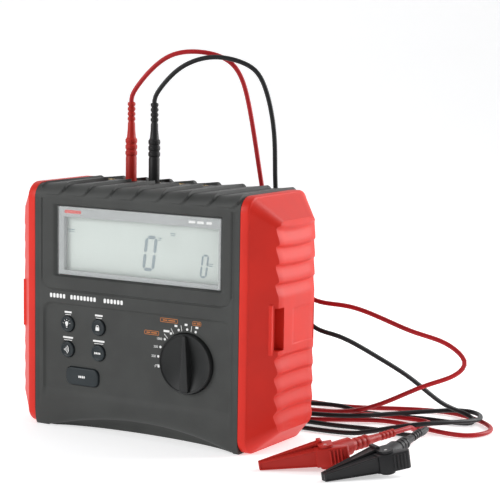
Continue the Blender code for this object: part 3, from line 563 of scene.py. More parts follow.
def control_panel(x, z):
    """Sunk to the ledge; the rectangle runs on below it, so the lower corners stay square."""
    inside = rect_inside(x, z, (PANEL[0][0], PANEL[0][1] - 0.02), PANEL[1], PANEL_CORNER)
    return PANEL_DEPTH * smoothstep(inside, 0.0, PANEL_EDGE) * smoothstep(z, *LEDGE)


def groove(distance, width, depth):
    return depth * max(0.0, 1 - (distance / width) ** 2)


def panel_relief(x, z):
    """How far the panel is pressed in at this place."""
    frame_line = groove(rect_inside(x, z, *FRAME_LINE, FRAME_CORNER), LINE_WIDE, LINE_DEEP)
    strip = groove(abs(x) - STRIP_X, STRIP_WIDE, LINE_DEEP) * smoothstep(z, 0.010, 0.013)
    return max(display_rim(x, z), control_panel(x, z), frame_line, strip)


# %% [markdown]
# The top is shingled: eight steps rise to the right and drop at a sharp edge. Their front
# ends come over the shoulder as round tongues, which read as hooks from the front.
# %% Relief of the top
def step_height(x, front_room):
    """Height of the shingles; front_room is the distance behind their front ends."""
    k = math.ceil((x - STEP_FIRST) / STEP_PITCH - 1e-9)
    edge = STEP_FIRST + k * STEP_PITCH
    start = max(edge - STEP_PITCH, -HALF + 0.003)
    if x <= start or abs(x) > HALF - 0.0015:
        return 0.0
    a, b = TONGUE_R - (edge - x), TONGUE_R - front_room
    inside = TONGUE_R - math.hypot(a, b) if a > 0 and b > 0 else min(edge - x, front_room)
    slope = ((x - start) / (edge - start)) ** STEP_CURVE
    return (RIDGE - TOP) * slope * smoothstep(inside, 0.0, STEP_EDGE)


def hook_room(z):
    return z - STEP_FRONT_Z


print("eight shingles,", round((RIDGE - TOP) * 1000, 1), "mm proud")

# %% [markdown]
# The section of the front moulding: the floor edge, an arch that is cut under the front so
# that fingers can lift it, the flat panel, the shoulder, and the top. Rows are named by the
# stretch they lie on, so each stretch can be as fine as its relief needs.
# %% Front moulding
def arch(x):
    """The height of the arch, how far back its foot is, and how much of it is left here."""
    t = (x - ARCH_X) / ARCH_HALF
    swell = math.sqrt(max(0.0, 1 - t * t))
    tall, deep = (max(end, most * swell) for end, most in zip(ARCH_ENDS, (ARCH_TALL, ARCH_DEEP)))
    return tall, deep, swell


def arch_point(x, t):
    """Up a hollow from the foot, then round an outward curve to the panel."""
    tall, deep, swell = arch(x)
    lift, turn_in = ARCH_LIFT * tall * swell, deep / 2
    if t < ARCH_SPLIT:
        angle = t / ARCH_SPLIT * math.pi / 2
        return FRONT + turn_in * (1 + math.cos(angle)), lift * math.sin(angle)
    angle = (t - ARCH_SPLIT) / (1 - ARCH_SPLIT) * math.pi / 2
    return FRONT + turn_in * (1 - math.sin(angle)), lift + (tall - lift) * (1 - math.cos(angle))


def front_point(x, row, inset):
    """A place on the section, moved in by the inset and its relief."""
    stretch, t = row
    tall = arch(x)[0]
    if stretch == "floor":
        return Vector((x, SPLIT + (arch_point(x, 0)[0] - SPLIT) * t, inset))
    if stretch == "arch":
        y, z = arch_point(x, t)
        return Vector((x, y + inset * (0.2 + 0.8 * t), z + inset * (1 - 0.9 * t)))
    if stretch == "rise":
        z = tall + (LEDGE[1] - tall) * t
    elif stretch == "panel":
        z = t
    if stretch in ("rise", "panel"):
        push = panel_relief(x, z) if inset == 0 else 0.0
        if inset == 0 and z > HOOKS_FROM:
            push -= step_height(x, hook_room(z)) * HOOK_SHARE
        return Vector((x, FRONT + max(push, -MOST_PROUD) + inset, z))
    if stretch == "shoulder":
        angle = math.radians(180 - 90 * t)
        lift = step_height(x, hook_room(TOP - SHOULDER) + SHOULDER * math.radians(90 * t))
        share = HOOK_SHARE + (1 - HOOK_SHARE) * t
        radius = SHOULDER - inset + (lift * share if inset == 0 else 0)
        return Vector((x, FRONT + SHOULDER + radius * math.cos(angle),
                       TOP - SHOULDER + radius * math.sin(angle)))
    lift = step_height(x, MID_STEP) if inset == 0 else -inset
    return Vector((x, t, TOP + lift))


def case_columns():
    """Fine lines across the case, with one on each side of every shingle's edge."""
    edges = [STEP_FIRST + k * STEP_PITCH for k in range(STEPS)]
    lines = set(ruled((-HALF, 1), (HALF, 0.00095)))
    lines = {x for x in lines if min(abs(x - e) for e in edges) > 0.0005}
    for e in edges:
        lines |= {e - 0.0008, e - 0.00035, e, e + 0.00002}
    return sorted(x for x in lines if abs(x) <= HALF)


rows = [("floor", t) for t in (0, 0.3, 0.6, 0.85, 1)] \
    + [("arch", t) for t in ruled((0.08, 1), (1, 0.05))] \
    + [("rise", t) for t in (0.2, 0.45, 0.7, 0.9)] \
    + [("panel", z) for z in ruled((LEDGE[1], 1), (0.0830, 0.0030), (0.0865, 0.0005),
                                   (0.0925, 0.0020), (0.0955, 0.00035), (0.1020, 0.0016),
                                   (0.1045, 0.00045), (0.1495, 0.0035), (0.1525, 0.0005),
                                   (0.1550, 0.0008))] \
    + [("shoulder", t) for t in ruled((0, 1), (1, 0.045))] \
    + [("top", y) for y in ruled((FRONT + SHOULDER + 0.001, 1), (SPLIT, 0.006))]


def moulding(name, rows, point, node):
    shell = sheet(case_columns(), rows, lambda x, r: point(x, r, 0.0),
                  lambda x, r: point(x, r, WALL))
    piece = keep(name, shell, CASE, replaces=node, slot="case_plastic")
    print(name, len(piece.data.polygons), "faces")
    return piece


front_shell = moulding("front_shell", rows, front_point, "front_case")

# %% [markdown]
# The openings go in last, as clean cuts: the display, the dial, five key holes and the pocket
# for the socket plate.
# %% Openings
KEYS = {name: [sum(pair) / 2 for pair in zip(*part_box(f"button_{name}"))]
        for name in ("light", "hold", "sound", "zero", "test")}
THROUGH, KNOB_GAP, KEY_HOLE_R = 0.01, 0.0006, 0.0057


def bore(radius, place, steps):
    """A cutter for a round hole, which goes right through a wall."""
    return spun([(0, -THROUGH), (radius, -THROUGH), (radius, THROUGH), (0, THROUGH)], place, steps)


cutters = [block((bezel_low.x - GAP, FRONT - THROUGH, bezel_low.z - GAP),
                 (bezel_high.x + GAP, FRONT + THROUGH, bezel_high.z + GAP)),
           bore(KNOB_R + KNOB_GAP, facing(KNOB_X, FRONT, KNOB_Z), 64),
           plate(rounded(0.0272, 0.0126, 0.0045), -THROUGH, THROUGH,
                 facing(KEYS["test"][0], FRONT, KEYS["test"][2])),
           block((plate_low.x - GAP, plate_low.y - GAP, plate_low.z - 0.006),
                 (plate_high.x + GAP, plate_high.y + GAP, plate_high.z + THROUGH))]
cutters += [bore(KEY_HOLE_R, facing(KEYS[name][0], FRONT, KEYS[name][2]), 64)
            for name in ("light", "hold", "sound", "zero")]
cut(front_shell, merged(*cutters))
print("after the cuts", len(front_shell.data.polygons), "faces")

# %% [markdown]
# The rear moulding is a second sheet. It carries the shingles on to the back edge, turns
# down over a smaller shoulder and ends under the feet. The battery door and the screws sit in
# wells in it, so the door's opening and the screws' seats are cut last, as before.
# %% Rear moulding
def rear_point(x, row, inset):
    stretch, t = row
    if stretch == "top":
        lift = step_height(x, MID_STEP) if inset == 0 else -inset
        return Vector((x, t, TOP + lift))
    if stretch == "shoulder":
        angle = math.radians(90 - 90 * t)
        lift = step_height(x, MID_STEP) * (1 - t) if inset == 0 else 0.0
        radius = REAR_SHOULDER - inset + lift
        return Vector((x, BACK - REAR_SHOULDER + radius * math.cos(angle),
                       TOP - REAR_SHOULDER + radius * math.sin(angle)))
    if stretch == "back":
        line = groove(abs(x) - REAR_LINE_X, LINE_WIDE, LINE_DEEP) * smoothstep(t, 0.004, 0.008)
        return Vector((x, BACK - inset - (line if inset == 0 else 0.0), t))
    return Vector((x, BACK - inset + (SPLIT + GAP - BACK + inset) * t, inset))


rows = [("top", y) for y in ruled((SPLIT + GAP, 1), (BACK - REAR_SHOULDER, 0.0003))] \
    + [("shoulder", t) for t in ruled((0, 1), (1, 0.12))] \
    + [("back", z) for z in ruled((TOP - REAR_SHOULDER - 0.001, 1), (0.003, 0.006))] \
    + [("floor", t) for t in (0, 0.5, 1)]
rear_shell = moulding("rear_shell", rows, rear_point, "back_cover")
door_low, door_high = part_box("battery_door")
SCREWS = [f"case_screw_{i}" for i in (1, 2, 3, 4)] + ["battery_door_screw"]
SEAT_R, SEAT_DEEP, SHANK_HOLE_R = 0.0042, 0.0016, 0.0019
seats = []
for name in SCREWS[:4]:
    low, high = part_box(name)
    seats.append(bore(SEAT_R, facing((low.x + high.x) / 2, BACK, (low.z + high.z) / 2), 32))
cut(rear_shell, merged(block((door_low.x - GAP, BACK - THROUGH, door_low.z - GAP),
                             (door_high.x + GAP, BACK + THROUGH, door_high.z + GAP)), *seats))
print("rear moulding", len(rear_shell.data.polygons), "faces")

# %% [markdown]
# The battery door is a ribbed plate with one screw. The ribs give the thumb a grip when the
# door is slid off, so they are raised bars in its lower half.
# %% Battery door
door = block(door_low, door_high, 0.0006, 2)
ribs = [block((-0.018, BACK - 0.0012, z), (0.018, BACK - 0.0001, z + 0.0012), 0.0004, 2)
        for z in (0.0180, 0.0215, 0.0250, 0.0285)]
door_piece = keep("battery_door_plate", door, CASE, replaces="battery_door", slot="case_plastic")
well = plate(rounded(0.042, 0.018, 0.004), -0.0012, 0.01, behind(0, BACK, 0.0239))
seat = spun([(0, -THROUGH), (SHANK_HOLE_R, -THROUGH), (SHANK_HOLE_R, -SEAT_DEEP),
             (SEAT_R, -SEAT_DEEP), (SEAT_R, THROUGH), (0, THROUGH)], behind(0, BACK, 0.058), 32)
cut(door_piece, merged(well, seat))
keep("battery_door_ribs", merged(*ribs), CASE)


# %% [markdown]
# Screws are turned pan heads with a cross recess. One spun profile makes the head and the
# shank, and the cross is two slots that are cut out of it.
# %% Screws
def screw(name):
    low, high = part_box(name)
    place = behind((low.x + high.x) / 2, high.y, (low.z + high.z) / 2)
    length, radius = high.y - low.y, (high.z - low.z) / 2
    body = spun([(0, -length), (0.0017, -length), (0.0017, -0.0022), (radius, -0.0022),
                 (radius, -0.0008), (radius - 0.0008, 0), (0, 0)], place, 40)
    piece = keep(f"{name}_turned", body, STEEL, replaces=name, slot="steel")
    for a, b in ((0.0017, 0.0004), (0.0004, 0.0017)):
        slot = block((-a, -b, -0.0010), (a, b, 0.001))
        bmesh.ops.transform(slot, matrix=place, verts=slot.verts)
        cut(piece, slot)


for name in SCREWS:
    screw(name)
print("screws", len(SCREWS))

# %% [markdown]
# Each red end cover is a hollow cap. Its section starts as an upright flange, slopes in to a
# raised pad, and the pad is scalloped for the fingers. The rings of a loft follow that
# section; the ring at the pad's edge slides along the slope where a scallop lowers the pad,
# which is what gives the edge its waves.
# %% Measures of the covers
PAD_FRONT, PAD_BACK, PAD_LOW, PAD_HIGH = -0.0216, 0.0247, 0.0140, 0.1495
COVER_OUT, FLANGE_OUT, COVER_TALL = 0.1010, 0.0867, 0.1650
SCALLOP_TOP, SCALLOP_PITCH, SCALLOP_DEEP = 0.1468, 0.01177, 0.0017
SCALLOPS = (0, 1, 2, 3, 7, 8, 9, 10)
STRAP_LOW, STRAP_HIGH = 0.0670, 0.0945
COVER_DEEP, COVER_MIDDLE = BACK - FRONT, ((FRONT + BACK) / 2, COVER_TALL / 2)
PAD_MIDDLE = ((PAD_FRONT + PAD_BACK) / 2, (PAD_LOW + PAD_HIGH) / 2)
FLANGE_RIM = ((HALF + GAP, 0.0), (FLANGE_OUT - 0.0012, 0.0), (FLANGE_OUT - 0.0006, 0.00025),
              (FLANGE_OUT - 0.0002, 0.0006), (FLANGE_OUT, 0.0011))
SLOPE_PARTS = (0.02, 0.25, 0.5, 0.75, 0.93, 0.985)
PAD_PARTS = (0.012, 0.035, 0.3, 0.6, 0.74, 0.765, 0.79, 0.9, 1.0)
PAD_SHRINK, CREASE_SOFT = 0.02, 0.00035


def scallop(z):
    """How far the pad is lowered at this height: a short drop, then a long rise."""
    for row in SCALLOPS:
        t = (SCALLOP_TOP - SCALLOP_PITCH * row - z) / SCALLOP_PITCH
        if 0 < t < 1:
            return SCALLOP_DEEP * min(smoothstep(t, 0, 0.24), 1 - smoothstep(t, 0.22, 0.98))
    return 0.0


def label_well(y, z):
    """A very shallow panel in the plain middle of the pad."""
    inside = rect_inside(y, z, (-0.0040, 0.0690), (0.0400, 0.0925), 0.0006)
    return 0.00045 * smoothstep(inside, 0.0, 0.0005)


def ring(width, height, radius, centre):
    """A round-cornered outline with close points up its long sides."""
    y, z = width / 2 - radius, height / 2 - radius
    top = [(v, z + radius) for v in np.linspace(y, -y, 13)[1:-1]]
    sides = [(-y - radius, v) for v in np.linspace(z, -z, 231)[1:-1]]
    points = arc((y, z), radius, 0, 90, 9) + top + arc((-y, z), radius, 90, 180, 9) + sides \
        + arc((-y, -z), radius, 180, 270, 9) + [(-p, -q) for p, q in top] \
        + arc((y, -z), radius, 270, 360, 9) + [(-p, -q) for p, q in sides]
    return [(centre[0] + p, centre[1] + q) for p, q in points]


# %% Loft of the covers
def cover_rings():
    rings = [[(x, *p) for p in ring(COVER_DEEP - 2 * trim, COVER_TALL - 2 * trim, 0.0105 - trim,
                                    COVER_MIDDLE)] for x, trim in FLANGE_RIM]
    edge = rings[-1]
    pad = ring(PAD_BACK - PAD_FRONT, PAD_HIGH - PAD_LOW, 0.0060, PAD_MIDDLE)
    drop = [scallop(z) for _, z in pad]
    reach = [1 - d / (COVER_OUT - FLANGE_OUT) for d in drop]
    for part in SLOPE_PARTS:
        rings.append([(FLANGE_OUT + (COVER_OUT - FLANGE_OUT) * r * part,
                       y0 + (y1 - y0) * r * part, z0 + (z1 - z0) * r * part)
                      for (_, y0, z0), (y1, z1), r in zip(edge, pad, reach)])
    crease = [(y0 + (y1 - y0) * r, z0 + (z1 - z0) * r)
              for (_, y0, z0), (y1, z1), r in zip(edge, pad, reach)]
    for part in PAD_PARTS:
        level = []
        for (y, z), (y1, z1), d in zip(crease, pad, drop):
            across = y + (PAD_MIDDLE[0] - y) * part
            up = z + (z1 - z) * min(1, part * 4)
            up += (PAD_MIDDLE[1] - up) * PAD_SHRINK * part
            soft = CREASE_SOFT * (1 - smoothstep(part, 0.0, 0.03))
            level.append((COVER_OUT - d - soft - label_well(across, up), across, up))
        rings.append(level)
    return rings


def loft(rings, place=Matrix()):
    """A grid is rolled up, so that its first and last lines meet, and fitted to the rings."""
    bm = bmesh.new()
    count, levels = len(rings[0]), len(rings) - 1
    bmesh.ops.create_grid(bm, x_segments=count, y_segments=levels, size=0.5)
    for v in bm.verts:
        i, j = round((v.co.x + 0.5) * count), round((v.co.y + 0.5) * levels)
        v.co = place @ Vector(rings[j][i % count])
    bmesh.ops.remove_doubles(bm, verts=bm.verts, dist=TOUCHING)
    return bm


SKIN, PAD_SKIN = 0.0024, 0.0036


def inner_rings():
    rings = [[(x, *p) for p in ring(COVER_DEEP - 2 * SKIN, COVER_TALL - 2 * SKIN, 0.008,
                                    COVER_MIDDLE)] for x in (HALF + GAP, FLANGE_OUT - 0.0025)]
    pad = ring(PAD_BACK - PAD_FRONT - 0.002, PAD_HIGH - PAD_LOW - 0.002, 0.006, PAD_MIDDLE)
    rings.append([(COVER_OUT - PAD_SKIN, y, z) for y, z in pad])
    rings.append([(COVER_OUT - PAD_SKIN, PAD_MIDDLE[0],
                   PAD_MIDDLE[1] + (1 - PAD_SHRINK) * (z - PAD_MIDDLE[1])) for _, z in pad])
    return rings


def cover(side, name):
    flip = Matrix.Diagonal((side, 1, 1, 1))
    bm = loft(inner_rings()[::-1] + cover_rings(), flip)
    return keep(f"{name}_moulding", bm, RED, replaces=name, slot="cover_red")


right_cover = cover(1, "right_side_cover")
left_cover = cover(-1, "left_side_cover")
print("cover", len(right_cover.data.polygons), "faces each")


# %% [markdown]
# A strap hooks into a slot in the slope of each cover. A thin lip stands up in front of the
# slot, and behind it the slot is a deep dark pocket with its own walls.
# %% Strap slots
def boxed(side, low, high, width=0.0):
    xs = sorted((side * low[0], side * high[0]))
    return block((xs[0], *low[1:]), (xs[1], *high[1:]), width, 2)


for piece, side in ((right_cover, 1), (left_cover, -1)):
    pocket = boxed(side, (0.0895, -0.0262, STRAP_LOW - 0.0022),
                   (COVER_OUT - 0.0026, -0.0122, STRAP_HIGH + 0.0022))
    lip = boxed(side, (0.0925, -0.0257, STRAP_LOW - 0.0012),
                (COVER_OUT - 0.0030, -0.0236, STRAP_HIGH + 0.0012), 0.0004)
    add(piece, pocket)
    add(piece, lip)
    cut(piece, boxed(side, (0.0915, -0.0236, STRAP_LOW), (COVER_OUT + 0.01, -0.0150, STRAP_HIGH)))
    tongue = boxed(side, (0.0914, -0.0232, STRAP_LOW + 0.0008),
                   (COVER_OUT - 0.0036, -0.0226, STRAP_HIGH - 0.0008), 0.0002)
    keep(f"strap_plate_{'right' if side > 0 else 'left'}", tongue, STEEL)
print("strap slots cut")

# %% [markdown]
# The display is a silver frame with a deep window, behind it a pale glass with grey
# segments. The frame's edges are bevelled, because its left inner wall catches the light.
# %% Display frame
VIEW = (bezel_low.x + 0.0044, bezel_low.z + 0.0030), (bezel_high.x - 0.0022, bezel_high.z - 0.0070)
silver = block(bezel_low, bezel_high)
silver_frame = keep("display_frame", silver, BEZEL, replaces="display_bezel", slot="bezel_grey")
cut(silver_frame, block((VIEW[0][0], FRONT - THROUGH, VIEW[0][1]),
                        (VIEW[1][0], FRONT + THROUGH, VIEW[1][1])))
softened = silver_frame.modifiers.new("edges", "BEVEL")
softened.width, softened.segments, softened.limit_method = 0.0006, 3, "ANGLE"
window_low, window_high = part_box("display_window")
keep("display_lens", block(window_low, window_high, 0.0002, 2), WINDOW,
     replaces="display_window", slot="clear_window")
glass_low, glass_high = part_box("lcd_glass")
glass_y = glass_low.y
keep("display_glass_plate", block(glass_low, glass_high, 0.0002, 2), LCD, replaces="lcd_glass",
     slot="lcd")


# %% [markdown]
# Digits lean a little, and each is made of bars with slanted ends. The display reads nothing
# but zeros. The other marks are plain bars where the units would be.
# %% Segments
MARK_HIGH, LEAN = 0.0001, 0.13


def film(outline, place, high=MARK_HIGH):
    """An outline as a thin layer, half of it sunk into the surface."""
    return plate(outline, -high, high, place)


def bar(x0, z0, x1, z1, thick, place, lean=0.0, high=MARK_HIGH):
    """A flat bar with pointed ends, between two points of the panel."""
    run = Vector((x1 - x0, z1 - z0)).normalized()
    side = Vector((-run.y, run.x)) * thick / 2
    a, b = Vector((x0, z0)), Vector((x1, z1))
    points = [a, a + run * thick / 2 + side, b - run * thick / 2 + side, b,
              b - run * thick / 2 - side, a + run * thick / 2 - side]
    return film([(p.x + lean * p.y, p.y) for p in points], place, high)


def zero(x, z, wide, tall, thick):
    """Six bars, with the middle one left out; the place is the lower left corner."""
    place = facing(x, glass_y, z)
    half, gap = tall / 2, thick * 0.15
    upright = [(x, low, x, low + half - 2 * gap) for x in (0, wide) for low in (gap, half + gap)]
    across = [(gap, level, wide - gap, level) for level in (0, tall)]
    return [bar(*ends, thick, place, LEAN) for ends in upright + across]


marks = zero(0.0038, 0.1126, 0.0072, 0.0212, 0.0023) + zero(0.0478, 0.1112, 0.0040, 0.0140, 0.0014)
for x, z, wide, tall in ((-0.0545, 0.1345, 0.0060, 0.0006), (0.0165, 0.1338, 0.0028, 0.0006),
                         (0.0265, 0.1375, 0.0042, 0.0006), (0.0550, 0.1200, 0.0042, 0.0006)):
    marks.append(film(rounded(wide, tall, 0.0002), facing(x, glass_y, z)))
    marks.append(film(rounded(wide * 0.8, tall, 0.0002), facing(x, glass_y, z - 0.0013)))
keep("display_segments", merged(*marks), SEGMENT, slot="lcd")
stripe = film(rounded(0.0135, 0.0022, 0.0008), facing(-0.0503, bezel_low.y, 0.1468))
keep("display_stripe", stripe, RED, slot="bezel_grey")
tag = [film(rounded(w, 0.0016, 0.0005), facing(x, bezel_low.y, 0.1466))
       for x, w in ((0.0435, 0.0050), (0.0500, 0.0050), (0.0565, 0.0040))]
keep("display_tag", merged(*tag), INK, slot="bezel_grey")
print("display marks", len(marks))


# %% [markdown]
# The printing on the panel is a thin film of white ink. Words are replaced by rows of short
# bars, as a mock-up would carry. Only the test voltages, plain numbers, are set in type.
# %% Prints
SUNK = FRONT + PANEL_DEPTH
INK_HIGH = 0.00008
CAPITALS = 0.72


def ink(outline, place):
    return film(outline, place, INK_HIGH)


def word(x, z, widths, tall, y, gap=0.0008):
    """Short bars in a row that is centred on x; each stands for a letter group."""
    place, total = x - (sum(widths) + gap * (len(widths) - 1)) / 2, []
    for w in widths:
        total.append(ink(rounded(w, tall, tall / 4, (place + w / 2, 0), 3), facing(0, y, z)))
        place += w + gap
    return total


def number(text, x, z, tall, y):
    """Plain type, turned into a mesh and laid on the panel."""
    curve = bpy.data.curves.new("type", "FONT")
    curve.body, curve.size, curve.align_x = text, tall / CAPITALS, "RIGHT"
    curve.extrude = INK_HIGH
    holder = bpy.data.objects.new("type", curve)
    bpy.context.scene.collection.objects.link(holder)
    bpy.context.view_layer.update()
    mesh = bpy.data.meshes.new_from_object(
        holder.evaluated_get(bpy.context.evaluated_depsgraph_get()))
    bm = bmesh.new()
    bm.from_mesh(mesh)
    bmesh.ops.remove_doubles(bm, verts=bm.verts, dist=TOUCHING)
    bmesh.ops.transform(bm, matrix=facing(x, y, z - tall / 2), verts=bm.verts)
    bpy.data.objects.remove(holder)
    bpy.data.meshes.remove(mesh)
    return bm


DETENTS = (-101, -84, -67, -50.5, -34, -17, 0, 17)
DOT_R, DOT_RING = 0.00085, 0.0222


def on_dial(angle, radius):
    a = math.radians(angle)
    return KNOB_X + radius * math.sin(a), KNOB_Z + radius * math.cos(a)


prints = []
for angle in DETENTS:
    x, z = on_dial(angle, DOT_RING)
    prints.append(ink(arc((0, 0), DOT_R, 0, 342, 19), facing(x, SUNK, z)))
for angle in (-98.5, -45, -29.5, -11, 8):
    (x0, z0), (x1, z1) = on_dial(angle, 0.0210), on_dial(angle, 0.0250)
    prints.append(bar(x0, z0, x1, z1, 0.00038, facing(0, SUNK, 0), high=INK_HIGH))
for text, angle in (("0", -101), ("250", -84), ("500", -67), ("1000", -50.5)):
    x, z = on_dial(angle, DOT_RING)
    prints.append(number(text, x - 0.0020, z, 0.0016, SUNK))
for angle, wide in ((-39, 0.0046), (-20, 0.0022), (-2, 0.0022), (17, 0.0022)):
    x, z = on_dial(angle, DOT_RING + 0.0030)
    prints += word(x, z, [wide], 0.0014, SUNK)
print("dial marks", len(prints))

# %% [markdown]
# Three keys carry pictures: a lamp, a padlock and sound waves. The other two carry short bars.
# Above the round keys are bars for their second functions, and the title is a row of bars.
# %% Key marks
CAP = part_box("button_light")[0].y


def lamp_icon(x, z):
    place = facing(x, CAP, z)
    rays = [bar(0.0021 * math.cos(a), 0.0006 + 0.0021 * math.sin(a), 0.0029 * math.cos(a),
                0.0006 + 0.0029 * math.sin(a), 0.0003, place, high=INK_HIGH)
            for a in np.radians((0, 45, 90, 135, 180))]
    bulb = ink(arc((0, 0.0006), 0.0013, -50, 230, 16) + [(-0.0006, -0.0014), (0.0006, -0.0014)],
               place)
    foot = ink(rounded(0.0012, 0.0005, 0.0002, (0, -0.0021), 2), place)
    return rays + [bulb, foot]


def band(radius, start, end, thick, place, centre=(0, 0)):
    """A thin ring sector."""
    outline = arc(centre, radius + thick / 2, start, end, 14) \
        + arc(centre, radius - thick / 2, end, start, 14)
    return ink(outline, place)


def lock_icon(x, z):
    place = facing(x, CAP, z)
    body = ink(rounded(0.0029, 0.0024, 0.0004, (0, -0.0008), 3), place)
    half, thick = 0.0010, 0.00045
    return [body, band(half, 0, 180, thick, place, (0, 0.0006))] \
        + [bar(leg, 0.0, leg, 0.0009, thick, place, high=INK_HIGH) for leg in (-half, half)]


def sound_icon(x, z):
    place = facing(x, CAP, z)
    dot = ink(arc((-0.0018, 0), 0.0004, 0, 340, 17), place)
    return [dot] + [band(r, -48, 48, 0.00042, place, (-0.0020, 0))
                    for r in (0.0013, 0.0024, 0.0035)]


icons = {"light": lamp_icon, "hold": lock_icon, "sound": sound_icon,
         "zero": lambda x, z: word(x, z, [0.0009] * 4, 0.0014, CAP, 0.0004),
         "test": lambda x, z: word(x, z, [0.0010] * 4, 0.0016, CAP, 0.0004)}
for name, (x, _, z) in KEYS.items():
    if name != "test":
        widths = {"light": [0.0058], "hold": [0.0062], "sound": [0.0082], "zero": [0.0092]}[name]
        prints += word(x, z + 0.0079, widths, 0.0012, SUNK)
        prints += word(x, z + 0.0062, [w * 0.8 for w in widths], 0.0004, SUNK)
    keep(f"key_mark_{name}", merged(*icons[name](x, z)), INK, body=f"button_{name}",
         slot="button_rubber")
title = [mark for x, count in ((-0.0615, 5), (-0.0405, 8), (-0.0160, 6))
         for mark in word(x, 0.0898, [0.0019] * count, 0.0030, FRONT)]
keep("panel_print", merged(*prints, *title), INK, slot="case_plastic")
labels = []
for x, z, wide in ((0.0138, 0.0722, 0.0110), (0.0272, 0.0815, 0.0132), (0.0485, 0.0815, 0.0062)):
    place = facing(x, SUNK, z)
    labels += [ink(rounded(w, h, 0.0002, c, 2), place)
               for w, h, c in ((wide, 0.0004, (0, 0.0012)), (wide, 0.0004, (0, -0.0012)),
                               (0.0004, 0.0018, (wide / 2, 0)), (0.0004, 0.0018, (-wide / 2, 0)))]
    labels += word(x, z, [wide * 0.26, wide * 0.40], 0.0008, SUNK)
keep("panel_labels", merged(*labels), ORANGE, slot="case_plastic")
print("prints", len(prints) + len(title) + len(labels))


# %% [markdown]
# The keys are soft caps with a dished top and a rim. Each one stands in a well that is a
# little wider, so a dark ring shows round it.
# %% Keys
def key_cap(name):
    x, _, z = KEYS[name]
    high = -CAP
    profile = [(0, 0.0286), (0.0062, 0.0286), (0.0062, 0.0306), (0.0053, 0.0306),
               (0.0053, high - 0.0004), (0.0050, high - 0.0001), (0.0046, high),
               (0.0041, high - 0.0001), (0.0038, high - 0.0004), (0.0036, high - 0.00045),
               (0, high - 0.00045)]
    low_y = -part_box(f"button_{name}")[1].y
    profile = [(r, max(h, low_y)) for r, h in profile]
    keep(f"key_cap_{name}", spun(profile, facing(x, 0, z), 56), KEY, body=f"button_{name}",
         replaces=f"button_{name}", slot="button_rubber")


for name in ("light", "hold", "sound", "zero"):
    key_cap(name)
x, _, z = KEYS["test"]
base = plate(rounded(0.0284, 0.0138, 0.0050), 0.0, 0.0022, facing(x, -0.0323, z))
cap = plate(rounded(0.0264, 0.0118, 0.0042), 0.0, -CAP - 0.0323, facing(x, -0.0323, z), 0.0008, 3)
test_key = keep("key_cap_test", base, KEY, body="button_test", replaces="button_test",
                slot="button_rubber")
add(test_key, cap)
print("keys made")

# %% [markdown]
# The knob is a turned dish with a thin rim, and a grip bar across it that widens towards the
# thumb. A fine line is let into the bar to show the setting.
# %% Knob
low_y, high_y = -knob_high.y, -knob_low.y
dish = [(0, low_y), (0.0212, low_y), (0.0212, low_y + 0.0015), (KNOB_R, low_y + 0.0015),
        (KNOB_R, high_y - 0.0016), (KNOB_R - 0.0002, high_y - 0.0012),
        (KNOB_R - 0.0006, high_y - 0.0009), (KNOB_R - 0.0011, high_y - 0.0011),
        (KNOB_R - 0.0014, high_y - 0.0017)]
dish += [(r, high_y - 0.0057 + 0.0040 * (r / (KNOB_R - 0.0014)) ** 2)
         for r in np.linspace(KNOB_R - 0.0014, 0, 14)[1:]]
knob_place = facing(KNOB_X, 0, KNOB_Z)
keep("knob_dish", spun(dish, knob_place, 96), BLACK, body="knob", replaces="knob",
     slot="panel_black")
grip = [(-0.0011, 0.0184), (-0.0019, 0.0060), (-0.0034, -0.0176), (-0.0022, -0.0183),
        (0.0022, -0.0183), (0.0034, -0.0176), (0.0019, 0.0060), (0.0011, 0.0184)]
keep("knob_grip", plate(grip[::-1], low_y + 0.001, high_y, knob_place, 0.0005, 3), BLACK,
     body="knob", slot="panel_black")
line = plate(rounded(0.0007, 0.0150, 0.0003, (0, 0.0085)), -0.00025, 0.00006,
             facing(KNOB_X, knob_low.y, KNOB_Z))
keep("knob_line", line, BLACK_RUBBER, body="knob", slot="panel_black")
print("knob made")


# %% [markdown]
# Five safety sockets stand in the plate on top. The sleeve of each is a coloured ring round a
# brass cup. The red lead stands in the second socket and the black one in the third.
# %% Terminals
top_plate = keep("terminal_insert", block(plate_low, plate_high, 0.0003, 2), BLACK,
                 replaces="terminal_plate", slot="panel_black")
SOCKETS = [tuple((a + b) / 2 for a, b in zip(*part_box(f"socket_{i}"))) for i in range(1, 6)]
socket_y, SLEEVE_R = SOCKETS[0][1], 0.0057
cut(top_plate, merged(*[bore(SLEEVE_R + 0.0002, Matrix.Translation((x, socket_y, plate_high.z)), 40)
                        for x, _, _ in SOCKETS]))
for i, (x, _, _) in enumerate(SOCKETS, 1):
    sleeve = spun([(0.0044, -0.0150), (SLEEVE_R, -0.0150), (SLEEVE_R, -0.0002), (0.0055, 0),
                   (0.0047, 0), (0.0044, -0.0003), (0.0044, -0.0150)],
                  Matrix.Translation((x, socket_y, plate_high.z)), 48)
    keep(f"socket_sleeve_{i}", sleeve, BLACK_RUBBER if i in (1, 3) else RED_RUBBER,
         slot="brass")
print("sockets", len(SOCKETS))


# %% [markdown]
# A test plug is a soft moulded sleeve: a smooth skirt, three finger rings, a waist, and a
# ribbed tail that keeps the lead from kinking. It is one profile, spun, and used four times.
# %% Plugs
TAIL_RIB = ((0.0021, 0.0), (0.0026, 0.0004), (0.0027, 0.0009), (0.0027, 0.0018),
            (0.0026, 0.0023), (0.0021, 0.0027), (0.0021, 0.0033))
FINGER_RING = ((0.0036, 0.0), (0.0040, 0.0004), (0.0041, 0.0010), (0.0041, 0.0022),
               (0.0040, 0.0028), (0.0036, 0.0032), (0.0036, 0.0041))


def repeated(section, count, top, pitch):
    """The same (radius, drop) section again and again, down a profile."""
    return [(r, top - pitch * k - drop) for k in range(count) for r, drop in section]


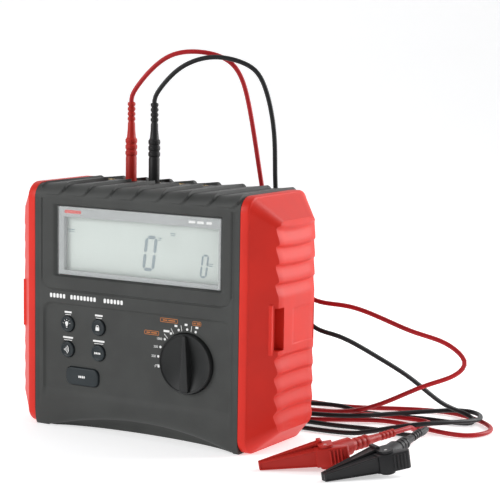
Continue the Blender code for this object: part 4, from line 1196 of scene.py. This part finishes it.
def plug_profile(skirt):
    return [(0, 0.052), (0.0017, 0.052), (0.0017, 0.054)] \
        + repeated(TAIL_RIB, 4, 0.0540, 0.003375) \
        + [(0.0025, 0.0395), (0.0026, 0.0355), (0.0031, 0.0300)] \
        + repeated(FINGER_RING, 3, 0.0290, 0.00417) + skirt


NEAR_SKIRT = [(0.0038, 0.0160), (0.0038, 0.0030), (0.0038, -0.0176), (0.0036, -0.0180),
              (0.0026, -0.0180), (0.0025, -0.0060), (0, -0.0060)]
FAR_SKIRT = [(0.0038, 0.0160), (0.0038, 0.0050), (0.0036, 0.0040), (0.0019, 0.0040),
             (0.0019, -0.0040), (0, -0.0040)]
JOINTS = {joint["name"]: joint for joint in frame["joints"]}
HINGE = (0.004, -0.0045)
FAR_SEAT, FAR_TURN, FAR_TILT, FAR_RISE = (0.004, 0.002, 0), 36, 94, 0.008


def clip_frame(colour):
    """Local X runs from the jaws' tip to the tail, and Z is the hinge's axis."""
    joint = JOINTS[f"open_{colour}_clip"]
    z = Vector(joint["axis"]).normalized()
    yaw = math.atan2(-z.y, -z.x)
    y = Vector((-math.sin(yaw), math.cos(yaw), 0))
    x = y.cross(z)
    origin = Vector(joint["pos_m"]) - HINGE[0] * x - HINGE[1] * y
    turned = Matrix((x, y, z)).transposed().to_4x4()
    return Matrix.Translation(origin) @ turned


def far_frame(colour):
    return clip_frame(colour) @ Matrix.Translation(FAR_SEAT) \
        @ Matrix.Rotation(math.radians(FAR_TURN), 4, "Z") \
        @ Matrix.Rotation(math.radians(FAR_TILT), 4, "Y") @ Matrix.Translation((0, 0, FAR_RISE))


PLUG_X = {"red": SOCKETS[1][0], "black": SOCKETS[2][0]}
RUBBER = {"red": RED_RUBBER, "black": BLACK_RUBBER}
for colour, x in PLUG_X.items():
    stand, words = Matrix.Translation((x, socket_y, plate_high.z)), {"slot": f"{colour}_rubber"}
    keep(f"{colour}_plug_sleeve", spun(plug_profile(NEAR_SKIRT), stand), RUBBER[colour],
         replaces=f"{colour}_plug", **words)
    keep(f"{colour}_far_sleeve",
                               spun(plug_profile(FAR_SKIRT), far_frame(colour)), RUBBER[colour],
                               replaces=f"{colour}_far_plug", **words)
print("plugs made")


# %% [markdown]
# The clips are two wedges that close on each other, hinged at the flange. The faces of each
# wedge are sunk to leave a rim, as thick plastic is always cored. The lever behind the
# hinge has ridges across it for the thumb.
# %% Clip halves
JAW, JAW_GAP = 0.038, 0.00015
BODY_HALF, LEVER_HALF, EAR = 0.00775, 0.0056, (0.0059, 0.00735)
CORE_RIM, CORE_DRAFT, CORE_DEEP = 0.0011, 0.0003, 0.0005


def wedge(side, tall, thick=0.0080, tip=0.0026):
    """One jaw, tapering to its tip, with sunk panels on its outer faces."""
    bm = bmesh.new()
    bmesh.ops.create_cube(bm, size=1.0)
    for v in bm.verts:
        at_tip = v.co.x < 0
        v.co = Vector((-JAW if at_tip else 0.001,
                       side * (JAW_GAP if v.co.y * side < 0 else (tip if at_tip else thick)),
                       math.copysign(0.0025 if at_tip else tall, v.co.z)))
    bmesh.ops.recalc_face_normals(bm, faces=bm.faces)
    outer = [f for f in bm.faces if abs(f.normal.z) > 0.7 or f.normal.y * side > 0.7]
    for face in outer:
        for width, depth in ((CORE_RIM, 0.0), (CORE_DRAFT, -CORE_DEEP)):
            bmesh.ops.inset_individual(bm, faces=[face], thickness=width, depth=depth)
    bevel(bm, 0.0004, 2, angle=50)
    return bm


def add_all(name, base, others, mat, **kept):
    piece = keep(name, base, mat, **kept)
    for other in others:
        add(piece, other)
    return piece


def tube(start, end, radius, width=0.0004, steps=40):
    """A round bar with soft ends between two places."""
    run = Vector(end) - Vector(start)
    place = Matrix.Translation(start) @ run.to_track_quat("Z", "Y").to_matrix().to_4x4()
    long = run.length
    return spun([(0, 0), (radius - width, 0), (radius, width), (radius, long - width),
                 (radius - width, long), (0, long)], place, steps)


def clip(colour):
    place, plug = clip_frame(colour), far_frame(colour)
    back_to_clip = place.inverted() @ plug
    flange = block((0, 0.0002, -0.00875), (0.003, 0.0088, 0.00875), 0.0005, 2)
    boss = tube(back_to_clip @ Vector((0, 0, -0.009)), back_to_clip @ Vector((0, 0, 0.013)),
                0.0056)
    ears = [plate([(0.0, 0.004), (-0.0005, HINGE[1])] + arc(HINGE, 0.0045, 180, 360, 10)
                  + [(0.009, 0.004)], a, b) for a, b in (EAR, (-EAR[1], -EAR[0]))]
    fixed = add_all(f"{colour}_clip_fixed_half", wedge(1, BODY_HALF), [flange, boss, *ears],
                    RUBBER[colour], replaces=f"{colour}_clip_body", slot=f"{colour}_rubber")
    room = plate([(-0.0040, -0.02), (0.013, -0.02), (0.013, -0.0012), (0.0045, 0.0007),
                  (-0.0040, 0.0007)], -EAR[0], EAR[0])
    mouth = tube(back_to_clip @ Vector((0, 0, 0.0037)), back_to_clip @ Vector((0, 0, 0.02)), 0.0041)
    cut(fixed, room)
    cut(fixed, mouth)
    fixed.data.transform(place)
    lever = plate([(-0.003, -0.0002), (0.0035, -0.0002), (0.012, -0.0038), (0.0150, -0.0058)]
                  + arc((0.0145, -0.0088), 0.003, 60, -90, 8)
                  + [(0.004, -0.0100), (-0.003, -0.0080)], -LEVER_HALF, LEVER_HALF, Matrix(),
                  0.0004)
    ridges = [tube(*((0.0060 + 0.0022 * k, -0.0106 - 0.00025 * k, end)
                     for end in (-0.0045, 0.0045)), 0.0007, 0.0002, 16) for k in range(4)]
    jaw = add_all(f"{colour}_clip_moving_half", wedge(-1, LEVER_HALF), [lever, *ridges],
                  RUBBER[colour], body=f"{colour}_clip_jaw", replaces=f"{colour}_clip_jaw",
                  slot=f"{colour}_rubber")
    jaw.data.transform(place)


for colour in ("red", "black"):
    clip(colour)
print("clips made")

# %% [markdown]
# The pieces inside keep the simulation model's shapes, since only a crack of light reaches
# them. They still get the right finish, from the slot that each node names.
# %% Finishes on the inner pieces
SLOT_LOOKS = {"case_plastic": CASE, "cover_red": RED, "panel_black": BLACK, "button_rubber": KEY,
              "bezel_grey": BEZEL, "clear_window": WINDOW, "lcd": LCD, "red_rubber": RED_RUBBER,
              "black_rubber": BLACK_RUBBER, "red_silicone": RED_SHEATH,
              "black_silicone": BLACK_SHEATH, "steel": STEEL, "brass": BRASS, "board": BOARD,
              "cell": CELL}
for name, node in frame["nodes"].items():
    slot = node.data.materials[0].name.split(".")[0]
    node.data.materials.clear()
    node.data.materials.append(SLOT_LOOKS[slot])
    shade(node.data)
print("inner looks set on", len(frame["nodes"]), "nodes")
